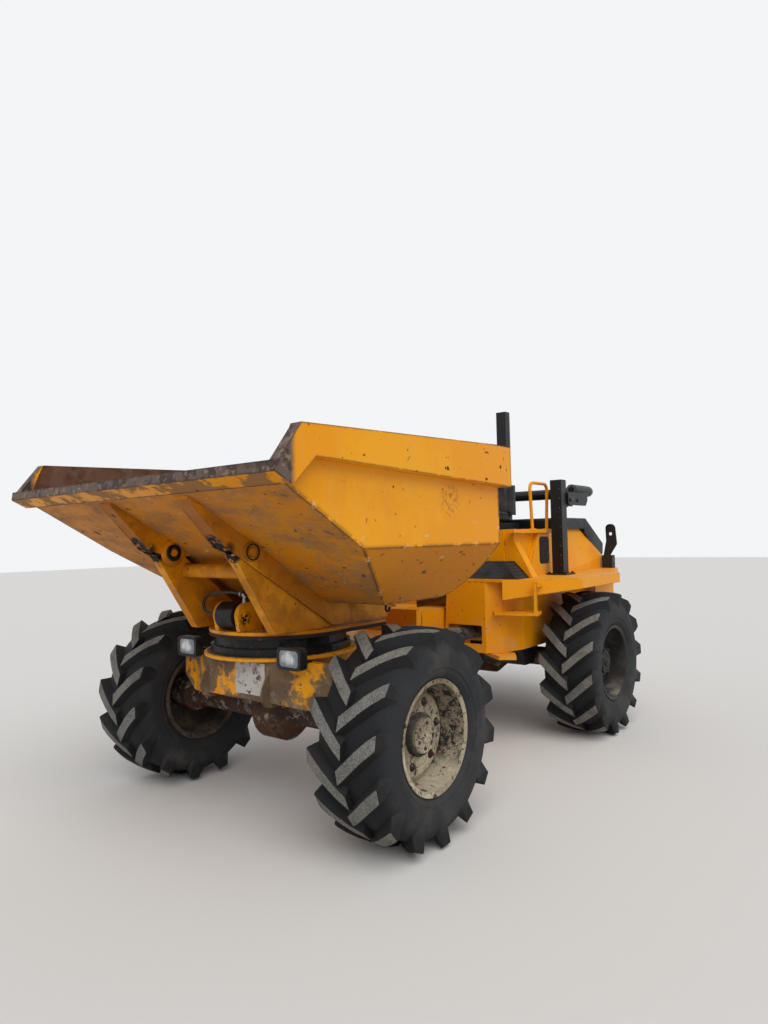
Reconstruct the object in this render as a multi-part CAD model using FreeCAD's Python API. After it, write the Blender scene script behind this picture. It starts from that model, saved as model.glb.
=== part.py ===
# Articulated site dumper with a swivelling, forward-tipping skip.
# Millimetres. X runs across the machine, its front faces -Y, and Z is up.
# Places are written from the steering pivot on the ground; the last step moves
# every piece so that the origin lies under the middle of the whole machine.

import FreeCAD
import Part
import math
import os

from FreeCAD import Vector


# Overall layout

WHEEL_BASE = 2353.0
WHEEL_HALF_TRACK = 884.0
FRONT_AXLE_Y = -WHEEL_BASE / 2
REAR_AXLE_Y = WHEEL_BASE / 2
SLEW_Y = FRONT_AXLE_Y
MOVING_GAP = 6.0
SEAT_GAP = 0.3
TUBE_SIDES = 12
BEND_CHORDS = 4
PIN_GAP = 0.5

# Tyres and rims

TYRE_RADIUS = 520.0
TYRE_WIDTH = 405.0
LUG_HEIGHT = 30.0
LUGS_PER_SIDE = 14
LUG_WIDTH = 57.0
LUG_LEAN = -190.0
SHOULDER_DROP = 16.0
SHOULDER_INSET = 30.0
SIDEWALL_RADIUS = 400.0
TYRE_SIDES = 2 * LUGS_PER_SIDE
RIM_SEAT_RADIUS = 257.0
RIM_FLANGE_RADIUS = 275.0
RIM_WIDTH = 348.0
RIM_SHEET = 9.0
RIM_DISC_OFFSET = 62.0
RIM_SIDES = 24
HUB_RADIUS = 112.0
HUB_STANDOUT = 96.0
AXLE_Z = TYRE_RADIUS

# Axles

AXLE_TUBE_RADIUS = 72.0
DIFF_RADIUS = 165.0
DIFF_HALF_WIDTH = 130.0
AXLE_HUB_RADIUS = 108.0
SPINDLE_RADIUS = 48.0
SPINDLE_LENGTH = 70.0

# Skip

SKIP_HALF_WIDTH = 1005.0
SKIP_BOTTOM_HALF_WIDTH = 760.0
SKIP_BOTTOM_Z = 1136.0
SKIP_CREASE_Z = 1430.0
SKIP_TOP_REAR_Z = 1985.0
SKIP_TOP_FRONT_Z = 1928.0
SKIP_REAR_Y = SLEW_Y + 756.5
SKIP_TOP_FRONT_Y = SLEW_Y - 873.5
SKIP_CREASE_Y = SLEW_Y - 453.5
SKIP_FLOOR_FRONT_Y = SLEW_Y - 8.5
SKIP_LIP_Y = SLEW_Y - 1013.5
SKIP_LIP_Z = 1772.0
SKIP_REAR_RADIUS = 290.0
SKIP_WALL = 8.0
SLOPE_FRONT_Y = SLEW_Y - 908.5
SLOPE_FRONT_Z = 1690.0
BAND_DEPTH = 55.0
BAND_LOW_REAR_Z = 1752.0
BAND_LOW_FRONT_Z = 1800.0
STRAP_WIDTH = 80.0
LIP_FACE = 44.0
LIP_DEPTH = 75.0

# Tipping gear

TIP_Y = SLEW_Y - 535.5
TIP_Z = 1420.0
TIP_PIN_RADIUS = 22.0
COLLAR_RADIUS = 47.0
WEB_KNEE_Y = SLEW_Y - 683.5
WEB_KNEE_Z = 1446.0
WEB_FOOT_Y = SLEW_Y + 42.5
WEB_REAR_Y = SLEW_Y + 616.5
WEB_STEP_Y = SLEW_Y + 516.5
WEB_STEP_Z = AXLE_Z + TYRE_RADIUS + 18.0
ARM_X = 315.0
ARM_THICKNESS = 62.0
ARM_BOSS_RADIUS = 40.0
ARM_NOSE = (-88.0, -8.0)
RIB_BOX_REAR = 114.0
ARM_FOOT_FRONT_Y = SLEW_Y - 358.5
ARM_FOOT_REAR_Y = SLEW_Y + 46.5
WEB_THICKNESS = 12.0
WEB_SHELF = 16.0
WEB_LOBE_RADIUS = 53.0
CROSS_TUBE_RADIUS = 38.0
CROSS_TUBE_Y = SLEW_Y - 423.5
CROSS_TUBE_Z = 1320.0
RAM_BASE_Y = SLEW_Y - 343.5
RAM_BASE_Z = 1080.0
RAM_EYE_Y = SLEW_Y + 326.5
RAM_EYE_Z = 1062.0
RAM_BARREL_RADIUS = 42.0
RAM_ROD_RADIUS = 22.0
RAM_PIN_RADIUS = 20.0
RAM_DRUM_HALF = 66.0
RAM_DRUM_RADIUS = 74.0
SKIP_LUG_X = 46.0
SKIP_LUG_THICKNESS = 16.0
RAM_HEAD_RADIUS = 32.0

# Slew gear

BASE_PLATE_TOP = 1000.0
BASE_PLATE_THICKNESS = 38.0
BASE_PLATE_RADIUS = 400.0
BASE_PLATE_HALF_WIDTH = 390.0
BASE_PLATE_REAR_Y = SLEW_Y + 586.5
BASE_PLATE_REAR_HALF = 250.0
SLEW_UPPER_RADIUS = 372.0
SLEW_LOWER_RADIUS = 392.0
SLEW_LOWER_HEIGHT = 40.0
SLEW_SIDES = 48
RING_PLATE_TOP = 872.0
RING_PLATE_THICKNESS = 20.0
RING_PLATE_RADIUS = 412.0

# Front frame

FRONT_PLATE_Y = SLEW_Y - 203.5
FRONT_PLATE_HALF_WIDTH = 619.0
FRONT_PLATE_BOTTOM = 600.0
FRAME_PLATE = 16.0
NOSE_Y = SLEW_Y - 328.5
NOSE_HALF_WIDTH = 240.0
NOSE_REAR_HALF_WIDTH = 520.0
NOSE_BOTTOM = 645.0
FRAME_HALF_WIDTH = 262.0
LAMP_X = 412.0
LAMP_Y = NOSE_Y + 14.0
LAMP_Z = 884.0
LAMP_WIDTH = 170.0
LAMP_HEIGHT = 112.0
LAMP_DEPTH = 36.0
LAMP_ROUND = 26.0
LAMP_RIM = 9.0

# Steering pivot

PIVOT_PIN_RADIUS = 38.0
PIVOT_BOSS_RADIUS = 90.0
PIVOT_LUG = 40.0
PIVOT_TOP = 1000.0
PIVOT_BOTTOM = 590.0
STEER_BASE = (285.0, 620.0)
STEER_EYE = (175.0, -120.0)
STEER_Z = 780.0
STEER_SHELF = 724.0
STEER_BARREL_RADIUS = 50.0
STEER_ROD_RADIUS = 22.0

# Rear frame and body

REAR_FACE_Y = 330.0
BODY_HALF_WIDTH = 600.0
BODY_BOTTOM = 655.0
BODY_REAR_Y = 2250.0
CORNER_CUT = 139.0
CORNER_X = 556.0
CORNER_Y = REAR_FACE_Y + 70.0
FLARE_Y = REAR_AXLE_Y - 536.5
BODY_PLATE = 12.0
DECK_TOP = 1170.0
DECK_PLATE = 20.0
DECK_HALF_WIDTH = 1050.0
DECK_FRONT_OUTER_Y = REAR_AXLE_Y - 536.5
DECK_REAR_OUTER_Y = REAR_AXLE_Y + 183.5
DECK_REAR_Y = BODY_REAR_Y - 390.0
DECK_REAR_HALF_WIDTH = 840.0
DECK_END_HALF_WIDTH = 715.0
SKIRT_INNER = 140.0
SKIRT_OUTER = 68.0
SKIRT_REAR = 80.0
SKIRT_SHEET = 10.0
APRON_X = 700.0
HOOD_TOP = 1520.0
LID_HEIGHT = 92.0
LID_HALF_WIDTH = 560.0
LID_FRONT_Y = 1370.0
LID_REAR_Y = BODY_REAR_Y - 356.0
LID_PIN_RADIUS = 5.0
LID_HINGE_Y = LID_REAR_Y + LID_PIN_RADIUS - 1.0
LID_HINGE_Z = HOOD_TOP + LID_HEIGHT - LID_PIN_RADIUS
HOOD_REAR_FRONT_Y = LID_HINGE_Y + LID_PIN_RADIUS + SEAT_GAP
HOOD_FRONT_Y = 930.0
HOOD_FRONT_LOW_Y = 745.0
HOOD_CREASE_Y = 1336.0
VENT_FRONT_Y = 950.0
VENT_LOW = 1257.0
VENT_HIGH = 1460.0
VENT_ROUND = 36.0
BULKHEAD_Y = 600.0
SILL_INNER = 545.0
SILL_BOTTOM = 1490.0
HOOD_SHEET = 18.0
HOOD_HALF_WIDTH = 590.0
HOOD_LOW_REAR = (BODY_REAR_Y - 2.0, 1269.0)
HOOD_TOP_REAR_Y = BODY_REAR_Y - 400.0
HOOD_LEAN = 60.0
CONSOLE_TOP = 1290.0
RAIL_X = 302.0
RAIL_FRONT_Y = 680.0
RAIL_BOTTOM = 725.0
RAIL_TOP = 900.0
ENGINE_HALF_WIDTH = 260.0
ENGINE_FRONT_Y = 1250.0
ENGINE_REAR_Y = BODY_REAR_Y - 240.0
ENGINE_BOTTOM = 780.0
ENGINE_TOP = 1380.0
POST_X = 705.0
POST_Y = 1060.0
POST_HALF = 45.0
POST_TOP = 1890.0
HOOP_HINGE_Y = 1148.0
HOOP_HINGE_Z = 1738.0
HOOP_Z = HOOP_HINGE_Z + HOOP_HINGE_Y - POST_Y
HOOP_TUBE_RADIUS = 44.5
HOOP_PIN_RADIUS = 14.0
HOOP_PLATE = 10.0
HOOP_REAR_Y = 1740.0
STACK_X = -238.0
STACK_Y = BODY_REAR_Y - 285.0
STACK_HALF_WIDTH = 50.0
STACK_HALF_DEPTH = 40.0
STACK_TOP = 2650.0
STACK_WALL = 5.0
COLUMN_LOW_Y = 650.0
COLUMN_HIGH_Y = 690.0
COLUMN_HIGH_Z = 1650.0
SEAT_HALF_WIDTH = 230.0
SEAT_FRONT_Y = 960.0
SEAT_BASE_TOP = HOOD_TOP + 60.0
STEP_LOW = 926.0
STEP_THICKNESS = 20.0
FOOT_PLATE = 26.0


def at(x, y, z):
    return Vector(x, y, z)


def box(x0, x1, y0, y1, z0, z1):
    return Part.makeBox(x1 - x0, y1 - y0, z1 - z0, at(x0, y0, z0))


# An outline is a list of corners (a, b) or (a, b, radius), in the plane named.

PLANES = {
    "xy": lambda a, b, c: at(a, b, c),
    "xz": lambda a, b, c: at(a, c, b),
    "yz": lambda a, b, c: at(c, a, b),
}


def outline(plane, level, corners):
    place = PLANES[plane]
    ends = []
    count = len(corners)
    for index, corner in enumerate(corners):
        here = place(corner[0], corner[1], level)
        radius = corner[2] if len(corner) > 2 else 0.0
        if radius == 0.0:
            ends.append((here, None, here))
            continue
        before = corners[index - 1]
        after = corners[(index + 1) % count]
        back = (place(before[0], before[1], level) - here).normalize()
        ahead = (place(after[0], after[1], level) - here).normalize()
        half = back.getAngle(ahead) / 2
        reach = radius / math.tan(half)
        middle = (back + ahead).normalize()
        bow = here + middle * (radius / math.sin(half) - radius)
        ends.append((here + back * reach, bow, here + ahead * reach))
    edges = []
    for index, (start, bow, end) in enumerate(ends):
        if bow is not None:
            edges.append(Part.Arc(start, bow, end).toShape())
        following = ends[(index + 1) % count][0]
        if end.distanceToPoint(following) > 1e-6:
            edges.append(Part.LineSegment(end, following).toShape())
    return Part.Wire(edges)


def slab(plane, low, high, corners):
    face = Part.Face(outline(plane, low, corners))
    normal = PLANES[plane](0, 0, 1)
    return face.extrude(normal * (high - low))


def rod(start, end, radius):
    run = end - start
    return Part.makeCylinder(radius, run.Length, start, run)


def ring(start, end, radius, bore):
    return rod(start, end, radius).cut(rod(start, end, bore))


def cross_rod(x0, x1, y, z, radius):
    return rod(at(x0, y, z), at(x1, y, z), radius)


def mirrored(shape):
    return shape.mirror(at(0, 0, 0), at(1, 0, 0))


def both_sides(shape):
    return Part.makeCompound([shape, mirrored(shape)])


def joined(shapes):
    whole = shapes[0]
    for shape in shapes[1:]:
        whole = whole.fuse(shape)
    return whole.removeSplitter()


def flat(corners):
    return Part.Face(Part.makePolygon(corners + [corners[0]]))


def skin(rings, closed_round=False):
    # A solid whose sides are flat faces between rings of corners.
    count = len(rings[0])
    faces = [] if closed_round else [flat(rings[0]), flat(rings[-1])]
    for index in range(0 if closed_round else 1, len(rings)):
        here = rings[index - 1]
        there = rings[index]
        for side in range(count):
            after = (side + 1) % count
            faces.append(flat([here[side], there[side], there[after], here[after]]))
    return Part.makeSolid(Part.makeShell(faces))


def bend_points(before, corner, after, bend):
    # Points of an arc that rounds the corner of a path.
    back = (before - corner).normalize()
    ahead = (after - corner).normalize()
    half = back.getAngle(ahead) / 2
    centre = corner + (back + ahead).normalize() * (bend / math.sin(half))
    start = corner + back * (bend / math.tan(half)) - centre
    end = corner + ahead * (bend / math.tan(half)) - centre
    axis = start.cross(end).normalize()
    turn = math.degrees(start.getAngle(end))
    return [centre + FreeCAD.Rotation(axis, turn * step / BEND_CHORDS).multVec(start)
            for step in range(BEND_CHORDS + 1)]


def bent_tube(points, radius, bends):
    # A tube of TUBE_SIDES flats along a path that lies in one plane.
    path = [points[0]]
    for index, bend in enumerate(bends):
        path += bend_points(points[index], points[index + 1], points[index + 2], bend)
    path.append(points[-1])
    normal = (points[1] - points[0]).cross(points[2] - points[1]).normalize()
    rings = []
    for index, here in enumerate(path):
        come = (here - path[max(index - 1, 0)])
        go = (path[min(index + 1, len(path) - 1)] - here)
        come = come.normalize() if come.Length > 0 else go.normalize()
        go = go.normalize() if go.Length > 0 else come
        mitre = come + go
        across = mitre.cross(normal).normalize() * (2 / mitre.Length)
        rings.append([here + normal * (radius * math.cos(turn)) + across * (radius * math.sin(turn))
                      for turn in (2 * math.pi * side / TUBE_SIDES for side in range(TUBE_SIDES))])
    return skin(rings)


# Wheels, made about the X axis and moved to their hubs

def flat_rings(sections, sides):
    # Rings of corners about the X axis, from (place across, radius at the corners).
    rings = []
    for across, radius in sections:
        turns = [2 * math.pi * side / sides for side in range(sides)]
        rings.append([at(across, radius * math.sin(turn), -radius * math.cos(turn)) for turn in turns])
    return rings


def tyre_body():
    # A ring of flat sides: two to each lug, so that every lug sits on the same facets.
    half = TYRE_WIDTH / 2
    crown = TYRE_RADIUS - LUG_HEIGHT
    bead = RIM_WIDTH / 2 - RIM_SHEET - SEAT_GAP
    seat = (RIM_SEAT_RADIUS + SEAT_GAP) / math.cos(math.pi / TYRE_SIDES)
    shoulder = RIM_FLANGE_RADIUS + 4.0
    sections = (
        # place across the tyre, radius at the corners of the ring
        (-bead, seat), (-bead, shoulder), (-half, SIDEWALL_RADIUS), (-half + SHOULDER_INSET, crown),
        (half - SHOULDER_INSET, crown), (half, SIDEWALL_RADIUS), (bead, shoulder), (bead, seat),
    )
    return skin(flat_rings(sections, TYRE_SIDES), True)


def lug(side, angle):
    # One bar of the chevron, in two straight lengths: the nose at the middle and the foot
    # over the shoulder, each a block with flat faces that stands on the tyre's own radius.
    half = TYRE_WIDTH / 2
    crown = TYRE_RADIUS - LUG_HEIGHT
    lengths = (
        # places across, places along the tread, drops of the top, depths under the crown
        ((-14.0, 0.5 * half), (0.0, 0.56 * LUG_LEAN), (0.0, 0.0), (20.0, 20.0)),
        ((0.46 * half, half - 4.0), (0.5 * LUG_LEAN, LUG_LEAN), (0.0, SHOULDER_DROP), (20.0, 70.0)),
    )
    blocks = []
    for across, along, drops, depths in lengths:
        middle = (along[0] + along[1]) / 2
        reach = (abs(along[1] - along[0]) + LUG_WIDTH) / 2
        top = math.sqrt(TYRE_RADIUS ** 2 - reach ** 2)
        turn = angle + middle / TYRE_RADIUS
        out = at(0, math.sin(turn), -math.cos(turn))
        forward = at(0, math.cos(turn), math.sin(turn))
        quads = []
        for end in (0, 1):
            corners = []
            for height, spread in ((crown - depths[end], 0.5), (top - drops[end], 0.5),
                                   (top - drops[end], -0.5), (crown - depths[end], -0.5)):
                shift = along[end] - middle + spread * LUG_WIDTH
                corners.append(at(side * across[end], 0, 0) + forward * shift + out * height)
            quads.append(corners)
        blocks.append(skin(quads))
    return blocks


def tyre():
    pitch = 2 * math.pi / LUGS_PER_SIDE
    lugs = []
    for count in range(LUGS_PER_SIDE):
        lugs += lug(1, count * pitch)
        lugs += lug(-1, (count + 0.5) * pitch)
    return tyre_body().multiFuse(lugs).removeSplitter()


def rim():
    # Flanges, seat, dished disc and hub in one turned section, and the cap over the hub.
    half = RIM_WIDTH / 2
    inside = RIM_SEAT_RADIUS - RIM_SHEET
    disc = RIM_DISC_OFFSET
    pilot = SPINDLE_RADIUS - 12.0
    seat_end = disc - 40.0 + SPINDLE_LENGTH
    sections = (
        # place across the wheel, radius: outward along the seat, inward along the disc
        (-half, RIM_FLANGE_RADIUS), (-half + RIM_SHEET, RIM_FLANGE_RADIUS),
        (-half + RIM_SHEET, RIM_SEAT_RADIUS), (half - RIM_SHEET, RIM_SEAT_RADIUS),
        (half - RIM_SHEET, RIM_FLANGE_RADIUS), (half, RIM_FLANGE_RADIUS), (half, inside),
        (disc - 54.0, inside), (disc, inside - 52.0), (disc, HUB_RADIUS), (seat_end, HUB_RADIUS),
        (seat_end, pilot), (disc - 40.0, pilot), (disc - 40.0, HUB_RADIUS), (disc - 14.0, HUB_RADIUS),
        (disc - 14.0, inside - 62.0), (disc - 70.0, inside - 12.0), (disc - 70.0, inside),
        (-half, inside),
    )
    cap = (
        (seat_end, HUB_RADIUS), (HUB_STANDOUT, HUB_RADIUS), (HUB_STANDOUT + 24.0, HUB_RADIUS - 34.0),
    )
    whole = joined([skin(flat_rings(sections, RIM_SIDES), True), skin(flat_rings(cap, RIM_SIDES))])
    return whole.cut(cross_rod(disc - 60.0, seat_end, 0.0, 0.0, SPINDLE_RADIUS + SEAT_GAP))


def wheel_place(shape, side, axle_y):
    placed = shape.copy() if side > 0 else mirrored(shape)
    placed.translate(at(side * WHEEL_HALF_TRACK, axle_y, AXLE_Z))
    return placed


def axle(y, pad_x, pad_top):
    # Tube, differential, wheel hubs with their spindles, and the pads under the frame.
    reach = WHEEL_HALF_TRACK + RIM_DISC_OFFSET - 40.0 - 5.0
    hub_start = WHEEL_HALF_TRACK - 120.0
    half = (
        # place across, radius
        (DIFF_HALF_WIDTH - 60.0, DIFF_RADIUS), (DIFF_HALF_WIDTH, DIFF_RADIUS - 50.0),
        (DIFF_HALF_WIDTH + 60.0, AXLE_TUBE_RADIUS), (hub_start, AXLE_TUBE_RADIUS),
        (hub_start, AXLE_HUB_RADIUS), (reach, AXLE_HUB_RADIUS), (reach, SPINDLE_RADIUS),
        (reach + SPINDLE_LENGTH, SPINDLE_RADIUS),
    )
    other = [(-across, radius) for across, radius in reversed(half)]
    beam = skin(flat_rings(other + list(half), RIM_SIDES))
    beam.translate(at(0, y, AXLE_Z))
    pad = box(pad_x - 45.0, pad_x + 45.0, y - 70.0, y + 70.0, AXLE_Z, pad_top)
    return joined([beam, pad, mirrored(pad)])


# Skip

def skip_side_outline():
    far = SKIP_LIP_Y - 300.0
    high = SKIP_TOP_REAR_Z + 300.0
    return [
        (far, slope_z(far)),
        (SKIP_CREASE_Y, SKIP_CREASE_Z),
        (SKIP_FLOOR_FRONT_Y, SKIP_BOTTOM_Z),
        (SKIP_REAR_Y, SKIP_BOTTOM_Z, SKIP_REAR_RADIUS),
        (SKIP_REAR_Y, high),
        (far, high),
    ]


def skip_cross_outline():
    lean = (SKIP_HALF_WIDTH - SKIP_BOTTOM_HALF_WIDTH) / (SKIP_CREASE_Z - SKIP_BOTTOM_Z)
    low = SKIP_BOTTOM_Z - 100.0
    foot = SKIP_BOTTOM_HALF_WIDTH - 100.0 * lean
    high = SKIP_TOP_REAR_Z + 400.0
    return [
        (-foot, low), (foot, low), (SKIP_HALF_WIDTH, SKIP_CREASE_Z),
        (SKIP_HALF_WIDTH, high), (-SKIP_HALF_WIDTH, high), (-SKIP_HALF_WIDTH, SKIP_CREASE_Z),
    ]


def skip_solid(inset):
    side = outline("yz", -SKIP_HALF_WIDTH - 200.0, skip_side_outline())
    cross = outline("xz", SKIP_LIP_Y - 600.0, skip_cross_outline())
    if inset:
        side = side.makeOffset2D(-inset)
        cross = cross.makeOffset2D(-inset)
    along = Part.Face(side).extrude(at(2 * SKIP_HALF_WIDTH + 400.0, 0, 0))
    across = Part.Face(cross).extrude(at(0, 2600.0, 0))
    return along.common(across)


def above_skip_edge():
    # Everything over the line of the skip's top edge and open front.
    reach = SKIP_HALF_WIDTH + 300.0
    low = SKIP_LIP_Z - LIP_FACE
    return slab("yz", -reach, reach, [
        (SKIP_LIP_Y - 800.0, low - 200.0), (SKIP_LIP_Y + LIP_DEPTH, low - 200.0),
        (SKIP_LIP_Y + LIP_DEPTH, SKIP_LIP_Z), (SKIP_TOP_FRONT_Y, SKIP_TOP_FRONT_Z),
        (SKIP_REAR_Y + 1.0, SKIP_TOP_REAR_Z), (SKIP_REAR_Y + 300.0, SKIP_TOP_REAR_Z),
        (SKIP_REAR_Y + 300.0, 3000.0), (SKIP_LIP_Y - 800.0, 3000.0),
    ])


def skip_hopper():
    shell = skip_solid(0.0).cut(skip_solid(SKIP_WALL))
    return shell.cut(above_skip_edge()).removeSplitter()


def skip_rim():
    # Side bands with a slanted return, their front straps, the rear band and the lip.
    inner = SKIP_HALF_WIDTH
    outer = SKIP_HALF_WIDTH + BAND_DEPTH
    rear_y = SKIP_REAR_Y + BAND_DEPTH
    foot_y = SKIP_LIP_Y + 75.0
    foot_z = SKIP_LIP_Z - 86.0
    band_front_y = SKIP_TOP_FRONT_Y + STRAP_WIDTH
    section = [
        (rear_y, SKIP_TOP_REAR_Z), (SKIP_TOP_FRONT_Y, SKIP_TOP_FRONT_Z),
        (SKIP_LIP_Y, SKIP_LIP_Z - LIP_FACE / 2), (foot_y, foot_z), (foot_y + 32.0, foot_z + 8.0),
        (band_front_y, BAND_LOW_FRONT_Z), (rear_y, BAND_LOW_REAR_Z),
    ]
    side = slab("yz", inner, outer, section)
    rear = box(-outer, outer, SKIP_REAR_Y, rear_y, BAND_LOW_REAR_Z, SKIP_TOP_REAR_Z)
    lip = slab("yz", -outer, outer, [
        (SKIP_LIP_Y, SKIP_LIP_Z), (SKIP_LIP_Y - 6.0, SKIP_LIP_Z - LIP_FACE),
        (foot_y, foot_z), (SKIP_LIP_Y + LIP_DEPTH, slope_z(SKIP_LIP_Y + LIP_DEPTH)),
        (SKIP_LIP_Y + LIP_DEPTH, SKIP_LIP_Z),
    ])
    return joined([side, mirrored(side), rear, lip])


def slope_z(y):
    # Height of the skip's underside along the front slope.
    slope = (SLOPE_FRONT_Z - SKIP_CREASE_Z) / (SKIP_CREASE_Y - SLOPE_FRONT_Y)
    if y < SKIP_CREASE_Y:
        return SKIP_CREASE_Z + slope * (SKIP_CREASE_Y - y)
    steep = (SKIP_CREASE_Z - SKIP_BOTTOM_Z) / (SKIP_FLOOR_FRONT_Y - SKIP_CREASE_Y)
    return max(SKIP_BOTTOM_Z, SKIP_CREASE_Z - steep * (y - SKIP_CREASE_Y))


def skip_ribs():
    # On each side a long outer web, a short inner web at the pin and a box that closes them
    # in front of it; both webs have a round lobe about the pin.
    gap = ARM_THICKNESS / 2 + MOVING_GAP
    low = BASE_PLATE_TOP + MOVING_GAP
    front = SLOPE_FRONT_Y + 15.0
    nose = [(front, slope_z(front)), (front, slope_z(front) - WEB_SHELF), (WEB_KNEE_Y, WEB_KNEE_Z)]
    webs = (
        # inner face, outline behind the nose
        (ARM_X + gap, [(WEB_FOOT_Y, low, 40.0), (WEB_STEP_Y, low), (WEB_STEP_Y + 42.0, WEB_STEP_Z),
                       (WEB_REAR_Y, WEB_STEP_Z), (WEB_REAR_Y - 110.0, SKIP_BOTTOM_Z),
                       (SKIP_FLOOR_FRONT_Y, SKIP_BOTTOM_Z)]),
        (ARM_X - gap - WEB_THICKNESS, [(TIP_Y + 20.0, TIP_Z - 40.0),
                                       (TIP_Y + 120.0, slope_z(TIP_Y + 120.0))]),
    )
    shapes = []
    for face, rear in webs:
        web = slab("yz", face, face + WEB_THICKNESS, nose + rear + [(SKIP_CREASE_Y, SKIP_CREASE_Z)])
        lobe = cross_rod(face, face + WEB_THICKNESS, TIP_Y, TIP_Z, WEB_LOBE_RADIUS)
        hole = cross_rod(face, face + WEB_THICKNESS, TIP_Y, TIP_Z, TIP_PIN_RADIUS + SEAT_GAP)
        shapes.append(joined([web, lobe]).cut(hole))
    box_rear = TIP_Y - RIB_BOX_REAR
    front_box = slab("yz", ARM_X - gap - 1.0, ARM_X + gap + 1.0, nose[:2] + [
        (WEB_KNEE_Y, WEB_KNEE_Z + 4.0), (box_rear, TIP_Z + 8.0), (box_rear, slope_z(box_rear)),
    ])
    return both_sides(joined(shapes + [front_box]).cut(skip_solid(0.0)))


def skip_ram_lugs():
    half = RAM_HEAD_RADIUS + 14.0
    shape = slab("yz", SKIP_LUG_X, SKIP_LUG_X + SKIP_LUG_THICKNESS, [
        (RAM_EYE_Y - half, RAM_EYE_Z - RAM_HEAD_RADIUS, 30.0),
        (RAM_EYE_Y + half, RAM_EYE_Z - RAM_HEAD_RADIUS, 30.0),
        (RAM_EYE_Y + half + 14.0, SKIP_BOTTOM_Z), (RAM_EYE_Y - half - 14.0, SKIP_BOTTOM_Z),
    ])
    return both_sides(shape)


def tip_pins():
    # A pin through both webs of each rib, with a greased collar on either outer face.
    gap = ARM_THICKNESS / 2 + MOVING_GAP + WEB_THICKNESS
    pin = cross_rod(ARM_X - gap - 18.0, ARM_X + gap + 18.0, TIP_Y, TIP_Z, TIP_PIN_RADIUS)
    collar = cross_rod(ARM_X + gap + SEAT_GAP, ARM_X + gap + 10.0, TIP_Y, TIP_Z, COLLAR_RADIUS)
    inner = cross_rod(ARM_X - gap - 10.0, ARM_X - gap - SEAT_GAP, TIP_Y, TIP_Z, COLLAR_RADIUS)
    return both_sides(joined([pin, collar, inner]))


# Swivel frame

def swivel_base():
    corner_y = BASE_PLATE_REAR_Y - 110.0
    plate = slab("xy", BASE_PLATE_TOP - BASE_PLATE_THICKNESS, BASE_PLATE_TOP, [
        (-BASE_PLATE_HALF_WIDTH, SLEW_Y), (-BASE_PLATE_HALF_WIDTH, corner_y),
        (-BASE_PLATE_REAR_HALF, BASE_PLATE_REAR_Y), (BASE_PLATE_REAR_HALF, BASE_PLATE_REAR_Y),
        (BASE_PLATE_HALF_WIDTH, corner_y), (BASE_PLATE_HALF_WIDTH, SLEW_Y),
    ])
    front = rod(at(0, SLEW_Y, BASE_PLATE_TOP - BASE_PLATE_THICKNESS),
                at(0, SLEW_Y, BASE_PLATE_TOP), BASE_PLATE_RADIUS)
    lug_x = RAM_DRUM_HALF + MOVING_GAP
    reach = RAM_DRUM_RADIUS
    ram_lug = slab("yz", lug_x, lug_x + 30.0, [
        (RAM_BASE_Y - 40.0, BASE_PLATE_TOP - 2.0), (RAM_BASE_Y - reach, RAM_BASE_Z + reach, reach - 2.0),
        (RAM_BASE_Y + reach, RAM_BASE_Z + reach, reach - 2.0), (RAM_BASE_Y + 120.0, BASE_PLATE_TOP - 2.0),
    ])
    pin = cross_rod(-lug_x - 40.0, lug_x + 40.0, RAM_BASE_Y, RAM_BASE_Z, RAM_PIN_RADIUS)
    base = joined([plate, front, ram_lug, mirrored(ram_lug)])
    return joined([base, pin])


def tangent_point(foot, centre, radius, side):
    # Where a line from foot touches the circle, on the left (1) or right (-1) of it.
    run = math.hypot(centre[0] - foot[0], centre[1] - foot[1])
    aim = math.atan2(centre[1] - foot[1], centre[0] - foot[0]) + side * math.asin(radius / run)
    reach = math.sqrt(run * run - radius * radius)
    return foot[0] + reach * math.cos(aim), foot[1] + reach * math.sin(aim)


def swivel_arms():
    half = ARM_THICKNESS / 2
    front_foot = (ARM_FOOT_FRONT_Y, BASE_PLATE_TOP)
    rear_foot = (ARM_FOOT_REAR_Y, BASE_PLATE_TOP)
    pivot = (TIP_Y, TIP_Z)
    arm = slab("yz", ARM_X - half, ARM_X + half, [
        front_foot, (TIP_Y + ARM_NOSE[0], TIP_Z + ARM_NOSE[1]), (TIP_Y - 20.0, TIP_Z + 30.0), pivot,
        tangent_point(rear_foot, pivot, ARM_BOSS_RADIUS, -1), rear_foot,
    ])
    boss = cross_rod(ARM_X - half, ARM_X + half, TIP_Y, TIP_Z, ARM_BOSS_RADIUS)
    bore = cross_rod(ARM_X - 60.0, ARM_X + 60.0, TIP_Y, TIP_Z, TIP_PIN_RADIUS + PIN_GAP)
    arm = joined([arm, boss]).cut(bore)
    tube = cross_rod(-ARM_X + half - 1.0, ARM_X - half + 1.0, CROSS_TUBE_Y, CROSS_TUBE_Z,
                     CROSS_TUBE_RADIUS)
    return joined([tube, arm, mirrored(arm)])


def slew_ring(low, high, radius, width):
    rings = flat_rings(((low, radius), (high, radius), (high, radius - width), (low, radius - width)),
                       SLEW_SIDES)
    shape = skin(rings, True)
    shape.rotate(at(0, 0, 0), at(0, 1, 0), -90)
    shape.translate(at(0, SLEW_Y, 0))
    return shape


def slew_ring_upper():
    return slew_ring(RING_PLATE_TOP + SLEW_LOWER_HEIGHT + SEAT_GAP, BASE_PLATE_TOP - BASE_PLATE_THICKNESS,
                     SLEW_UPPER_RADIUS, 90.0)


def slew_ring_lower():
    return slew_ring(RING_PLATE_TOP, RING_PLATE_TOP + SLEW_LOWER_HEIGHT, SLEW_LOWER_RADIUS, 110.0)


# Hydraulic rams

def ram_frame(base, eye):
    run = (eye - base).normalize()
    return run, (eye - base).Length


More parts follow.
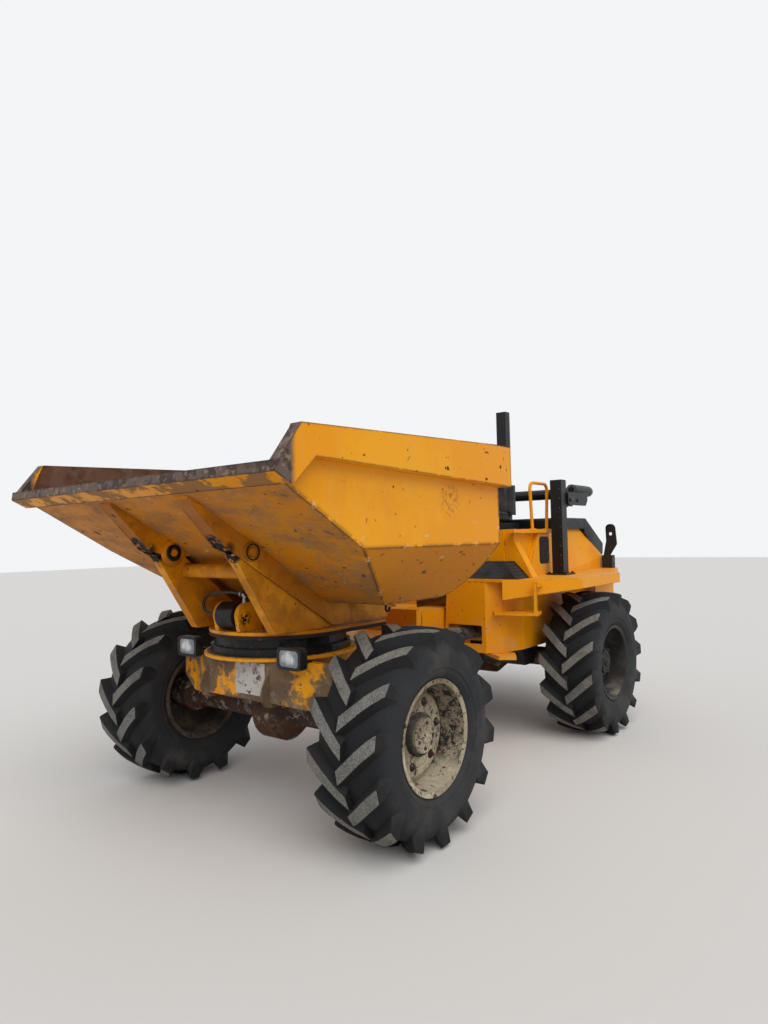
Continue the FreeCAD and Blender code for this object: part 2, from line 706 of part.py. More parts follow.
def tip_ram_barrel():
    base = at(0, RAM_BASE_Y, RAM_BASE_Z)
    eye = at(0, RAM_EYE_Y, RAM_EYE_Z)
    run, length = ram_frame(base, eye)
    drum = cross_rod(-RAM_DRUM_HALF, RAM_DRUM_HALF, RAM_BASE_Y, RAM_BASE_Z, RAM_DRUM_RADIUS)
    body = rod(base + run * 30.0, base + run * (length - 130.0), RAM_BARREL_RADIUS)
    bore = rod(base + run * 80.0, base + run * (length - 100.0), RAM_ROD_RADIUS + PIN_GAP)
    pin = cross_rod(-100.0, 100.0, RAM_BASE_Y, RAM_BASE_Z, RAM_PIN_RADIUS + PIN_GAP)
    return joined([drum, body]).cut(bore).cut(pin)


def tip_ram_rod():
    base = at(0, RAM_BASE_Y, RAM_BASE_Z)
    eye = at(0, RAM_EYE_Y, RAM_EYE_Z)
    run, length = ram_frame(base, eye)
    body = rod(base + run * 90.0, base + run * (length - 30.0), RAM_ROD_RADIUS)
    head = cross_rod(-34.0, 34.0, RAM_EYE_Y, RAM_EYE_Z, RAM_HEAD_RADIUS)
    hole = cross_rod(-60.0, 60.0, RAM_EYE_Y, RAM_EYE_Z, RAM_PIN_RADIUS)
    return joined([body, head]).cut(hole)


# Front frame

def front_frame():
    top = RING_PLATE_TOP - RING_PLATE_THICKNESS
    half = FRONT_PLATE_HALF_WIDTH
    plate = slab("xz", FRONT_PLATE_Y, FRONT_PLATE_Y + FRAME_PLATE, [
        (-half, FRONT_PLATE_BOTTOM + 90.0), (-half + 90.0, FRONT_PLATE_BOTTOM, 40.0),
        (half - 90.0, FRONT_PLATE_BOTTOM, 40.0), (half, FRONT_PLATE_BOTTOM + 90.0),
        (half, top), (-half, top),
    ])
    nose = slab("xy", FRONT_PLATE_BOTTOM, top, [
        (-NOSE_REAR_HALF_WIDTH, FRONT_PLATE_Y + 4.0), (-NOSE_HALF_WIDTH, NOSE_Y, 30.0),
        (NOSE_HALF_WIDTH, NOSE_Y, 30.0), (NOSE_REAR_HALF_WIDTH, FRONT_PLATE_Y + 4.0),
    ])
    under = slab("yz", -NOSE_REAR_HALF_WIDTH, NOSE_REAR_HALF_WIDTH, [
        (NOSE_Y - 10.0, FRONT_PLATE_BOTTOM - 10.0), (NOSE_Y - 10.0, NOSE_BOTTOM), (NOSE_Y, NOSE_BOTTOM),
        (FRONT_PLATE_Y, FRONT_PLATE_BOTTOM), (FRONT_PLATE_Y, FRONT_PLATE_BOTTOM - 10.0),
    ])
    nose = nose.cut(under)
    ring_plate = rod(at(0, SLEW_Y, top), at(0, SLEW_Y, RING_PLATE_TOP), RING_PLATE_RADIUS)
    side = box(FRAME_HALF_WIDTH - 22.0, FRAME_HALF_WIDTH, FRONT_PLATE_Y + 4.0, -190.0,
               FRONT_PLATE_BOTTOM, top)
    floor = box(-FRAME_HALF_WIDTH, FRAME_HALF_WIDTH, SLEW_Y - 160.0, -250.0,
                top - FRAME_PLATE, top)
    rear = box(-FRAME_HALF_WIDTH, FRAME_HALF_WIDTH, -190.0 - 30.0, -190.0, FRONT_PLATE_BOTTOM - 60.0,
               PIVOT_TOP)
    upper = pivot_lug(PIVOT_TOP - PIVOT_LUG)
    lower = pivot_lug(PIVOT_BOTTOM - PIVOT_LUG)
    pin = rod(at(0, 0, PIVOT_BOTTOM - PIVOT_LUG), at(0, 0, PIVOT_TOP), PIVOT_PIN_RADIUS)
    return joined([plate, nose, ring_plate, side, mirrored(side), floor, rear, upper, lower, pin])


def pivot_lug(low):
    return joined([
        slab("xy", low, low + PIVOT_LUG, [
            (-160.0, -200.0), (160.0, -200.0), (PIVOT_BOSS_RADIUS, 0.0), (-PIVOT_BOSS_RADIUS, 0.0)]),
        rod(at(0, 0, low), at(0, 0, low + PIVOT_LUG), PIVOT_BOSS_RADIUS),
    ])


def lamp_outline(inset):
    half = LAMP_WIDTH / 2 - inset
    tall = LAMP_HEIGHT / 2 - inset
    bend = LAMP_ROUND - inset
    return [
        (LAMP_X - half, LAMP_Z - tall, bend), (LAMP_X + half, LAMP_Z - tall, bend),
        (LAMP_X + half, LAMP_Z + tall, bend), (LAMP_X - half, LAMP_Z + tall, bend),
    ]


def headlamp_housings():
    outer = slab("xz", LAMP_Y - LAMP_DEPTH / 2, LAMP_Y + LAMP_DEPTH / 2, lamp_outline(0.0))
    stand = RING_PLATE_TOP - RING_PLATE_THICKNESS + SEAT_GAP
    foot = box(LAMP_X - 8.0, LAMP_X + 32.0, LAMP_Y, FRONT_PLATE_Y - 4.0, stand, stand + 10.0)
    return both_sides(joined([outer, foot]))


def headlamp_lenses():
    front = LAMP_Y - LAMP_DEPTH / 2
    return both_sides(slab("xz", front - 8.0, front, lamp_outline(LAMP_RIM)))


# Steering ram, low on the left of the pivot

def steer_ends():
    base = at(STEER_BASE[0], STEER_BASE[1], STEER_Z)
    eye = at(STEER_EYE[0], STEER_EYE[1], STEER_Z)
    return base, eye


def steer_ram_barrel():
    base, eye = steer_ends()
    run, length = ram_frame(base, eye)
    up = at(0, 0, 48.0)
    hub = rod(base - up, base + up, 56.0)
    body = rod(base + run * 30.0, base + run * (length * 0.58), STEER_BARREL_RADIUS)
    bore = rod(base + run * 60.0, base + run * length, STEER_ROD_RADIUS + PIN_GAP)
    pin = rod(base - up * 2, base + up * 2, RAM_PIN_RADIUS + PIN_GAP)
    return joined([hub, body]).cut(bore).cut(pin)


def steer_ram_rod():
    base, eye = steer_ends()
    run, length = ram_frame(base, eye)
    up = at(0, 0, 30.0)
    body = rod(base + run * (length * 0.3), base + run * (length - 30.0), STEER_ROD_RADIUS)
    head = rod(eye - up, eye + up, 38.0)
    hole = rod(eye - up * 2, eye + up * 2, RAM_PIN_RADIUS)
    return joined([body, head]).cut(hole)


# Rear frame

def rear_frame():
    top = DECK_TOP - DECK_PLATE
    half = BODY_HALF_WIDTH
    face = slab("xz", REAR_FACE_Y, REAR_FACE_Y + BODY_PLATE, [
        (-half + CORNER_CUT, BODY_BOTTOM), (half - CORNER_CUT, BODY_BOTTOM),
        (half - CORNER_CUT, top), (-half + CORNER_CUT, top),
    ])
    notch = slab("xz", REAR_FACE_Y - 5.0, REAR_FACE_Y + 60.0, [
        (-110.0, BODY_BOTTOM - 10.0), (110.0, BODY_BOTTOM - 10.0), (150.0, top + 10.0), (-150.0, top + 10.0),
    ])
    window = slab("xz", REAR_FACE_Y - 5.0, REAR_FACE_Y + 60.0, [
        (150.0, 715.0, 14.0), (430.0, 715.0, 14.0), (430.0, 845.0, 14.0), (150.0, 845.0, 14.0),
    ])
    face = face.cut(notch).cut(window).cut(mirrored(window))
    corner = slab("xy", BODY_BOTTOM, top, [
        (half - CORNER_CUT, REAR_FACE_Y), (CORNER_X, CORNER_Y), (half, FLARE_Y), (half, FLARE_Y + 5.0),
        (half - BODY_PLATE, FLARE_Y + 5.0), (CORNER_X - BODY_PLATE, CORNER_Y + BODY_PLATE),
        (half - CORNER_CUT - 5.0, REAR_FACE_Y + BODY_PLATE), (half - CORNER_CUT - 5.0, REAR_FACE_Y),
    ])
    side = box(half - BODY_PLATE, half, FLARE_Y, BODY_REAR_Y, BODY_BOTTOM, top)
    back = box(-half, half, BODY_REAR_Y - BODY_PLATE, BODY_REAR_Y, BODY_BOTTOM, top)
    spine = box(RAIL_X - 12.0, RAIL_X + 12.0, RAIL_FRONT_Y, BODY_REAR_Y - 5.0, RAIL_BOTTOM, RAIL_TOP)
    ties = [box(-RAIL_X, RAIL_X, y, y + 60.0, RAIL_BOTTOM, ENGINE_BOTTOM)
            for y in (ENGINE_FRONT_Y + 60.0, ENGINE_REAR_Y - 120.0)]
    knuckle = joined([
        box(-110.0, 110.0, 60.0, RAIL_FRONT_Y + 20.0, PIVOT_BOTTOM + MOVING_GAP,
            PIVOT_TOP - PIVOT_LUG - MOVING_GAP),
        rod(at(0, 0, PIVOT_BOTTOM + MOVING_GAP), at(0, 0, PIVOT_TOP - PIVOT_LUG - MOVING_GAP),
            PIVOT_BOSS_RADIUS),
        slab("xy", PIVOT_BOTTOM + MOVING_GAP, PIVOT_TOP - PIVOT_LUG - MOVING_GAP, [
            (-PIVOT_BOSS_RADIUS, 0.0), (PIVOT_BOSS_RADIUS, 0.0), (110.0, 80.0), (-110.0, 80.0)]),
    ]).cut(rod(at(0, 0, 0), at(0, 0, 2000.0), PIVOT_PIN_RADIUS + PIN_GAP))
    tie = box(-half + 5.0, half - 5.0, RAIL_FRONT_Y, RAIL_FRONT_Y + 50.0, RAIL_BOTTOM, RAIL_TOP)
    shelf = box(100.0, half - 50.0, STEER_BASE[1] - 50.0, RAIL_FRONT_Y + 5.0, 700.0, STEER_SHELF)
    seat_pin = rod(at(STEER_BASE[0], STEER_BASE[1], STEER_SHELF - 2.0),
                   at(STEER_BASE[0], STEER_BASE[1], STEER_Z + 60.0), RAM_PIN_RADIUS)
    return joined([face, corner, mirrored(corner), side, mirrored(side), back, spine,
                   mirrored(spine), tie, knuckle, shelf, seat_pin] + ties)


def skirt_strips(edge, depths, top):
    # Upright strips under an edge, mitred where they meet; each depth is under the deck's top.
    places = [at(x, y, 0) for x, y in edge]
    inward = []
    for start, end in zip(places, places[1:]):
        inward.append(at(start.y - end.y, end.x - start.x, 0).normalize())
    strips = []
    for index, (start, end) in enumerate(zip(places, places[1:])):
        run = end - start
        corners = [start, end]
        for place, normal in ((end, inward[min(index + 1, len(inward) - 1)]),
                              (start, inward[max(index - 1, 0)])):
            mitre = inward[index] + normal
            corners.append(place + mitre * (SKIRT_SHEET / (1 + inward[index].dot(normal))))
        foot = []
        for corner in corners:
            share = (corner - start).dot(run) / run.dot(run)
            depth = depths[index] + (depths[index + 1] - depths[index]) * share
            foot.append(corner + at(0, 0, DECK_TOP - depth))
        strips.append(skin([[corner + at(0, 0, top) for corner in corners], foot]))
    return strips


def rear_deck():
    # The fender deck with its skirts, one sheet on each side and the floor between.
    low = DECK_TOP - DECK_PLATE
    half = BODY_HALF_WIDTH
    edge = [
        (half, REAR_FACE_Y), (DECK_HALF_WIDTH, DECK_FRONT_OUTER_Y), (DECK_HALF_WIDTH, DECK_REAR_OUTER_Y),
        (DECK_REAR_HALF_WIDTH, DECK_REAR_Y), (DECK_END_HALF_WIDTH, BODY_REAR_Y),
    ]
    plan = edge + [(-x, y) for x, y in reversed(edge)]
    bay = box(-HOOD_HALF_WIDTH + HOOD_SHEET, HOOD_HALF_WIDTH - HOOD_SHEET, ENGINE_FRONT_Y - 60.0,
              ENGINE_REAR_Y + 60.0, low - 5.0, DECK_TOP + 5.0)
    plate = slab("xy", low, DECK_TOP, plan).cut(bay)
    skirts = skirt_strips(edge, (SKIRT_INNER, SKIRT_OUTER, SKIRT_OUTER, SKIRT_REAR, SKIRT_REAR), low)
    apron = box(APRON_X - 12.0, APRON_X, REAR_AXLE_Y + TYRE_RADIUS + 54.0, BODY_REAR_Y - 80.0, 700.0, low)
    sides = skirts + [apron]
    return joined([plate] + sides + [mirrored(shape) for shape in sides])


def belly_guard():
    return slab("yz", -BODY_HALF_WIDTH + 60.0, BODY_HALF_WIDTH - 60.0, [
        (REAR_AXLE_Y - 476.5, BODY_BOTTOM), (REAR_AXLE_Y - 416.5, BODY_BOTTOM - 140.0),
        (REAR_AXLE_Y - 276.5, BODY_BOTTOM - 140.0), (REAR_AXLE_Y - 196.5, BODY_BOTTOM),
    ])


def steps():
    # A hanging tread outside each front corner of the body and a foot plate under the corner.
    lean = (BODY_HALF_WIDTH - CORNER_X) / (FLARE_Y - CORNER_Y)
    rear_y = REAR_FACE_Y + 220.0
    tread = slab("xy", STEP_LOW, STEP_LOW + STEP_THICKNESS, [
        (CORNER_X - 48.0, CORNER_Y - 36.0), (CORNER_X - 6.0, CORNER_Y - 100.0), (835.0, 394.0),
        (785.0, rear_y), (CORNER_X + lean * (rear_y - CORNER_Y) + SEAT_GAP, rear_y),
        (CORNER_X + SEAT_GAP, CORNER_Y - SEAT_GAP),
    ])
    hanger = slab("xy", STEP_LOW, DECK_TOP - DECK_PLATE, [
        (806.0, 385.0), (829.0, 393.0), (822.0, 413.0), (799.0, 405.0)])
    ear = slab("xy", DECK_TOP - 2.5 * DECK_PLATE, DECK_TOP - 1.5 * DECK_PLATE, [
        (803.0, 396.0), (828.0, 396.0), (828.0, 486.0), (803.0, 469.0)])
    plate = slab("xy", BODY_BOTTOM - FOOT_PLATE, BODY_BOTTOM - SEAT_GAP, [
        (400.0, 412.0), (592.0, 270.0), (692.0, 335.0), (610.0, 470.0)])
    return both_sides(Part.makeCompound([joined([tread, hanger, ear]), plate]))


def hood_slope(y):
    # Height of the hood's slanted rear edge.
    low_y, low_z = HOOD_LOW_REAR
    return HOOD_TOP + (low_z - HOOD_TOP) * (y - HOOD_TOP_REAR_Y) / (low_y - HOOD_TOP_REAR_Y)


def hood_side():
    # An upright front panel with the vent's recess, then a crease above which the side leans in.
    x = HOOD_HALF_WIDTH
    low_y, low_z = HOOD_LOW_REAR
    turn_y = POST_Y + POST_HALF
    crease_y = HOOD_CREASE_Y
    top_x = x - HOOD_LEAN
    inward = at(-HOOD_SHEET, 0, 0)
    crease = at(x, crease_y, DECK_TOP)
    rear = at(x, low_y, low_z)
    top = at(top_x, HOOD_TOP_REAR_Y, HOOD_TOP)
    lean = (rear - crease).cross(top - crease)

    def leaned(y, z):
        return at(x - (lean.y * (y - crease_y) + lean.z * (z - DECK_TOP)) / lean.x, y, z)

    upper = flat([leaned(turn_y, DECK_TOP), crease, rear, top, leaned(turn_y, HOOD_TOP)])
    lower = flat([crease, at(x, low_y - 8.0, DECK_TOP), rear])
    sill = SILL_BOTTOM - SEAT_GAP
    front = slab("yz", x - HOOD_SHEET, x, [
        (HOOD_FRONT_LOW_Y, DECK_TOP), (turn_y + HOOD_SHEET, DECK_TOP), (turn_y + HOOD_SHEET, sill),
        (HOOD_FRONT_Y, sill),
    ])
    reveal = slab("yz", SILL_INNER + BODY_PLATE + SEAT_GAP, x, [
        (HOOD_FRONT_LOW_Y, DECK_TOP), (HOOD_FRONT_LOW_Y + 12.0, DECK_TOP), (HOOD_FRONT_Y + 12.0, sill),
        (HOOD_FRONT_Y, sill),
    ])
    vent = slab("yz", x - 8.0, x + 5.0, [
        (VENT_FRONT_Y, VENT_LOW, VENT_ROUND), (turn_y + 6.0, VENT_LOW, VENT_ROUND),
        (turn_y + 6.0, VENT_HIGH, VENT_ROUND), (VENT_FRONT_Y, VENT_HIGH, VENT_ROUND),
    ])
    jamb = slab("xz", turn_y, turn_y + 12.0, [
        (leaned(turn_y, DECK_TOP).x - HOOD_SHEET, DECK_TOP), (x, DECK_TOP), (x, sill),
        (leaned(turn_y, SILL_BOTTOM).x - HOOD_SHEET, sill),
    ])
    return joined([upper.extrude(inward), lower.extrude(inward), front.cut(vent), reveal, jamb])


def hood_rear():
    # A hollow cap over the slanted rear of the hood and the wall below it.
    low_y, low_z = HOOD_LOW_REAR
    top = HOOD_TOP + LID_HEIGHT
    half = LID_HALF_WIDTH
    section = [
        (HOOD_REAR_FRONT_Y, top), (BODY_REAR_Y - 320.0, top), (BODY_REAR_Y + 70.0, low_z + 116.0),
        (BODY_REAR_Y + 60.0, low_z + 28.0),
        (low_y, low_z + 2 * SEAT_GAP), (HOOD_REAR_FRONT_Y, hood_slope(HOOD_REAR_FRONT_Y) + 2 * SEAT_GAP),
    ]
    cap = slab("yz", -half, half, section)
    inside = outline("yz", -half + BODY_PLATE, section).makeOffset2D(-BODY_PLATE)
    inside = Part.Face(inside).extrude(at(2 * (half - BODY_PLATE), 0, 0))
    wall_half = HOOD_HALF_WIDTH - HOOD_SHEET - 4.0
    wall = box(-wall_half, wall_half, low_y - 22.0, low_y - 10.0, DECK_TOP, low_z + 12.0)
    return joined([cap.cut(inside), wall]).cut(stack_column(SEAT_GAP))


def console():
    # Black tapered cover on the deck in front of the bulkhead.
    rings = []
    for half, front, z in ((677.0, 390.0, DECK_TOP + SEAT_GAP), (560.0, 450.0, CONSOLE_TOP)):
        rear = BULKHEAD_Y - SEAT_GAP
        rings.append([at(-half, front, z), at(half, front, z), at(half, rear, z), at(-half, rear, z)])
    return skin(rings)


def bulkhead():
    # Front wall of the footwell: a tapered sheet with a flange along each slanted edge, a box in
    # its middle, the recessed side walls behind it and the sills on top of them.
    low = 700.0
    top = 515.0
    sheet = slab("xz", BULKHEAD_Y, BULKHEAD_Y + BODY_PLATE, [
        (-low, DECK_TOP), (low, DECK_TOP), (top, HOOD_TOP), (-top, HOOD_TOP)])
    flange = slab("xz", BULKHEAD_Y, BULKHEAD_Y + 85.0, [
        (low - 12.0, DECK_TOP), (low, DECK_TOP), (top, HOOD_TOP), (top - 12.0, HOOD_TOP)])
    middle = box(-485.0, 485.0, BULKHEAD_Y - 25.0, BULKHEAD_Y + 1.0, CONSOLE_TOP + SEAT_GAP, HOOD_TOP)
    wall = box(SILL_INNER, SILL_INNER + BODY_PLATE, BULKHEAD_Y + 1.0, HOOD_FRONT_Y + 12.0,
               DECK_TOP, HOOD_TOP)
    sill = box(SILL_INNER, HOOD_HALF_WIDTH + 24.0, BULKHEAD_Y - 100.0, 1180.0, SILL_BOTTOM, HOOD_TOP)
    sides = [flange, wall, sill]
    return joined([sheet, middle] + sides + [mirrored(shape) for shape in sides])


def seat_platform():
    # Front wall under the seat and the plate that carries it.
    inner = SILL_INNER - SEAT_GAP
    narrow = HOOD_HALF_WIDTH - HOOD_LEAN - 2 * HOOD_SHEET
    rear = LID_FRONT_Y - 8.0
    wall = box(-inner, inner, 900.0, 916.0, DECK_TOP, HOOD_TOP)
    top = slab("xy", HOOD_TOP - 16.0, HOOD_TOP, [
        (-inner, 900.0), (inner, 900.0), (inner, POST_Y), (narrow, POST_Y), (narrow, rear),
        (-narrow, rear), (-narrow, POST_Y), (-inner, POST_Y),
    ])
    return joined([wall, top])


def bonnet_lid():
    inner = LID_HALF_WIDTH
    top = HOOD_TOP + LID_HEIGHT
    low = HOOD_TOP + SEAT_GAP
    outer = slab("yz", -inner, inner, [
        (LID_FRONT_Y, low), (LID_FRONT_Y, top, 20.0), (LID_REAR_Y, top), (LID_REAR_Y, low),
    ])
    pin = cross_rod(-inner + 60.0, inner - 60.0, LID_HINGE_Y, LID_HINGE_Z, LID_PIN_RADIUS)
    hollow = box(-inner + 8.0, inner - 8.0, LID_FRONT_Y + 8.0, LID_REAR_Y - 8.0,
                 HOOD_TOP - 10.0, top - 8.0)
    return joined([outer.cut(hollow), pin])


def engine_block():
    return box(-ENGINE_HALF_WIDTH, ENGINE_HALF_WIDTH, ENGINE_FRONT_Y, ENGINE_REAR_Y,
               ENGINE_BOTTOM, ENGINE_TOP)


def rops_posts():
    # Square posts, each with a block behind it that carries the hinge pin of the folding hoop.
    post = box(POST_X - POST_HALF, POST_X + POST_HALF, POST_Y - POST_HALF, POST_Y + POST_HALF,
               DECK_TOP, POST_TOP)
    foot = box(POST_X - 80.0, POST_X + 80.0, POST_Y - 80.0, POST_Y + 90.0, DECK_TOP, DECK_TOP + 12.0)
    lug_block = slab("yz", POST_X - POST_HALF, POST_X + POST_HALF, [
        (POST_Y + POST_HALF - 1.0, HOOP_HINGE_Z - 60.0), (HOOP_HINGE_Y + 36.0, HOOP_HINGE_Z - 36.0),
        (HOOP_HINGE_Y + 36.0, HOOP_HINGE_Z + 40.0), (POST_Y + POST_HALF - 1.0, HOOP_HINGE_Z + 40.0),
    ])
    reach = POST_HALF + MOVING_GAP + HOOP_PLATE + 8.0
    pin = cross_rod(POST_X - reach, POST_X + reach, HOOP_HINGE_Y, HOOP_HINGE_Z, HOOP_PIN_RADIUS)
    return both_sides(joined([post, foot, lug_block, pin]))


def rops_hoop():
    # The folded hoop: its feet lie behind the hinges and stand on the posts when it is raised.
    foot_y = HOOP_HINGE_Y + POST_TOP - HOOP_HINGE_Z + MOVING_GAP
    points = [
        at(POST_X, foot_y, HOOP_Z), at(POST_X, HOOP_REAR_Y, HOOP_Z),
        at(-POST_X, HOOP_REAR_Y, HOOP_Z), at(-POST_X, foot_y, HOOP_Z),
    ]
    hoop = bent_tube(points, HOOP_TUBE_RADIUS, [130.0, 130.0])
    near = POST_HALF + MOVING_GAP
    low = HOOP_HINGE_Z - 38.0
    high = HOOP_HINGE_Z + 62.0
    rear_y = foot_y + 174.0
    saddle = box(POST_X - near - 1.0, POST_X + near + 1.0, foot_y, rear_y - 20.0, high - 40.0, high)
    section = [
        (POST_Y + POST_HALF, low, 30.0), (rear_y - 40.0, low), (rear_y, low + 40.0), (rear_y, high),
        (POST_Y + POST_HALF, high, 30.0),
    ]
    shapes = [saddle]
    for side in (POST_X + near, POST_X - near - HOOP_PLATE):
        plate = slab("yz", side, side + HOOP_PLATE, section)
        hole = cross_rod(side, side + HOOP_PLATE, HOOP_HINGE_Y, HOOP_HINGE_Z, HOOP_PIN_RADIUS + PIN_GAP)
        shapes.append(plate.cut(hole))
    return joined([hoop] + shapes + [mirrored(shape) for shape in shapes])


def grab_handles():
    x = HOOD_HALF_WIDTH - HOOD_SHEET / 2
    points = [at(x, 860.0, HOOD_TOP - 20.0), at(x, 830.0, 1870.0), at(x, 1130.0, 1870.0),
              at(x, 1100.0, HOOD_TOP - 20.0)]
    tube = bent_tube(points, 12.0, [50.0, 50.0])
    below = box(x - 30.0, x + 30.0, 700.0, 1300.0, HOOD_TOP - 60.0, HOOD_TOP)
    return both_sides(tube.cut(below))


def seat_base():
    half = SEAT_HALF_WIDTH
    return box(-half, half, SEAT_FRONT_Y, SEAT_FRONT_Y + 365.0, HOOD_TOP, SEAT_BASE_TOP)


def seat_cushion():
    return slab("yz", -240.0, 240.0, [
        (880.0, HOOD_TOP + 60.3, 30.0), (880.0, HOOD_TOP + 160.0, 40.0), (1230.0, HOOD_TOP + 150.0),
        (1230.0, HOOD_TOP + 60.3),
    ])


def seat_back():
    return slab("yz", -230.0, 230.0, [
        (1235.0, HOOD_TOP + 60.3), (1275.0, HOOD_TOP + 440.0, 30.0), (1350.0, HOOD_TOP + 440.0, 30.0),
        (1330.0, HOOD_TOP + 60.3),
    ])


def stack_column(spread):
    half_x = STACK_HALF_WIDTH + spread
    half_y = STACK_HALF_DEPTH + spread
    return box(STACK_X - half_x, STACK_X + half_x, STACK_Y - half_y, STACK_Y + half_y,
               ENGINE_TOP, STACK_TOP)


def exhaust_stack():
    # A box-section stack from the engine up through the hood's rear slope, open at the top.
    bore = stack_column(-STACK_WALL)
    bore.translate(at(0, 0, STACK_TOP - ENGINE_TOP - 260.0))
    return stack_column(0.0).cut(bore)


def column_ends():
    return at(0, COLUMN_LOW_Y, DECK_TOP - 20.0), at(0, COLUMN_HIGH_Y, COLUMN_HIGH_Z)


def steering_column():
    low, high = column_ends()
    return rod(low, high, 32.0).cut(box(-100.0, 100.0, low.y - 100.0, low.y + 100.0, 1000.0, DECK_TOP))


def steering_wheel():
    # A rim of flats about the X axis, a hub and three spokes, turned up onto the column.
    sections = ((-11.0, 159.0), (-11.0, 171.0), (0.0, 178.0), (11.0, 171.0), (11.0, 159.0), (0.0, 152.0))
    hub = cross_rod(SEAT_GAP, 40.0, 0.0, 0.0, 46.0)
    spokes = []
    for spoke in (0, 120, 240):
        arm = box(4.0, 20.0, 0.0, 160.0, -9.0, 9.0)
        arm.rotate(at(0, 0, 0), at(1, 0, 0), spoke)
        spokes.append(arm)
    rim_ring = skin(flat_rings(sections, RIM_SIDES), True)
    rim_ring.translate(at(12.0, 0, 0))
    wheel = joined([rim_ring, hub] + spokes)
    low, high = column_ends()
    wheel.Placement = FreeCAD.Placement(high, FreeCAD.Rotation(at(1, 0, 0), high - low))
    return wheel


def rear_lamps():
    # Lamp boxes on the deck and the bored arms above them.
    rear = BODY_REAR_Y
    lamp = box(609.0, 700.0, rear - 90.0, rear - 20.0, DECK_TOP + SEAT_GAP, 1283.0)
    arm = slab("xz", rear - 60.0, rear - 48.0, [
        (612.0, 1281.0), (672.0, 1281.0), (735.0, 1380.0), (722.0, 1560.0, 40.0), (636.0, 1560.0, 40.0),
        (640.0, 1410.0),
    ])
    hole = rod(at(681.0, rear - 70.0, 1472.0), at(681.0, rear - 40.0, 1472.0), 15.0)
    return both_sides(joined([lamp, arm.cut(hole)]))


def tow_hitch():
    body = box(-90.0, 90.0, BODY_REAR_Y, BODY_REAR_Y + 110.0, 690.0, 820.0)
    mouth = box(-60.0, 60.0, BODY_REAR_Y + 30.0, BODY_REAR_Y + 120.0, 725.0, 785.0)
    hole = rod(at(0, BODY_REAR_Y + 75.0, 600.0), at(0, BODY_REAR_Y + 75.0, 900.0), 15.0)
    return body.cut(mouth).cut(hole)


def node_list():
    shapes = {}
    tyre_shape = tyre()
    rim_shape = rim()
    for end, y in (("front", FRONT_AXLE_Y), ("rear", REAR_AXLE_Y)):
        for name, side in (("left", 1), ("right", -1)):
            shapes["tyre_" + end + "_" + name] = wheel_place(tyre_shape, side, y)
            shapes["rim_" + end + "_" + name] = wheel_place(rim_shape, side, y)
    shapes["front_axle"] = axle(FRONT_AXLE_Y, FRAME_HALF_WIDTH - 45.0, FRONT_PLATE_BOTTOM)
    shapes["rear_axle"] = axle(REAR_AXLE_Y, RAIL_X, RAIL_BOTTOM)
    hood = hood_side()
    shapes["hood_left"] = hood
    shapes["hood_right"] = mirrored(hood)
    for make in (skip_hopper, skip_rim, skip_ribs, skip_ram_lugs, tip_pins, swivel_base, swivel_arms,
                 slew_ring_upper, slew_ring_lower, tip_ram_barrel, tip_ram_rod, front_frame,
                 headlamp_housings, headlamp_lenses, steer_ram_barrel, steer_ram_rod, rear_frame,
                 rear_deck, belly_guard, steps, hood_rear, console, bulkhead, seat_platform, bonnet_lid,
                 engine_block, rops_posts, rops_hoop, grab_handles, seat_base, seat_cushion,
                 seat_back, exhaust_stack, steering_column, steering_wheel, rear_lamps, tow_hitch):
        shapes[make.__name__] = make()
    return shapes


def main():
    os.makedirs("parts", exist_ok=True)
    front = SKIP_LIP_Y - 6.0
    rear = BODY_REAR_Y + 110.0
    shift = at(0, -(front + rear) / 2, 0)
    for name, shape in node_list().items():
        placed = shape.copy()
        placed.translate(shift)
        placed.exportStep("parts/" + name + ".step")
        print(name, placed.isValid(), len(placed.Solids), round(placed.Volume / 1e9, 5))


main()
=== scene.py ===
# %% [markdown]
# An articulated site dumper: a swivelling skip in front, four tractor tyres, a folded roll-over
# hoop and a black engine cover behind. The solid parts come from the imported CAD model. This lesson
# dresses them: worn paint, mud and grease by procedural materials, tyres with real lugs, wheels
# with bolts, sewn seat pads and the small things that a maker fastens on last.

# %% Load the machine
import math

import bmesh
import bpy
from mathutils import Matrix, Vector


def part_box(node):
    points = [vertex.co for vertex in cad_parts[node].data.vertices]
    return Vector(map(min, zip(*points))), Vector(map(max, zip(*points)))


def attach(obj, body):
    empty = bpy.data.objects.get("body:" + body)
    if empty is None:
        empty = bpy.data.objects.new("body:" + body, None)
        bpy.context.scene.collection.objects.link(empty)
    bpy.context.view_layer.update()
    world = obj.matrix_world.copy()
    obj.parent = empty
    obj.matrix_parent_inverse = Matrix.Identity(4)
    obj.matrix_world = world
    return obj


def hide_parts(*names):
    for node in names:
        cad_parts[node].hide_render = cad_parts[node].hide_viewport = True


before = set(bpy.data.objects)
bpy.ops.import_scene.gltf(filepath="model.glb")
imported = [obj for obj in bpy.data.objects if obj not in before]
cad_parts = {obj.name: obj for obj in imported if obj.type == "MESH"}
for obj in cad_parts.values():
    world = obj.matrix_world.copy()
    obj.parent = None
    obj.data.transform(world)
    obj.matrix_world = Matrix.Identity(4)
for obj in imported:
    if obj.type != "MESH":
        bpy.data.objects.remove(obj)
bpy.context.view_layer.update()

# %% [markdown]
# Every place below is measured from the steering pivot, as a fitter would with a tape. The packed
# model has its origin under the middle of the machine, 82 mm further back, so one small function
# turns a measured place into a place in the model.

# %% Measured places
PIVOT_SHIFT = -0.082
WHEEL_BASE = 2.353
TRACK = 0.884
AXLE_HEIGHT = 0.520
TYRE_RADIUS = 0.520


def spot(x, y, z):
    return Vector((x, y + PIVOT_SHIFT, z))


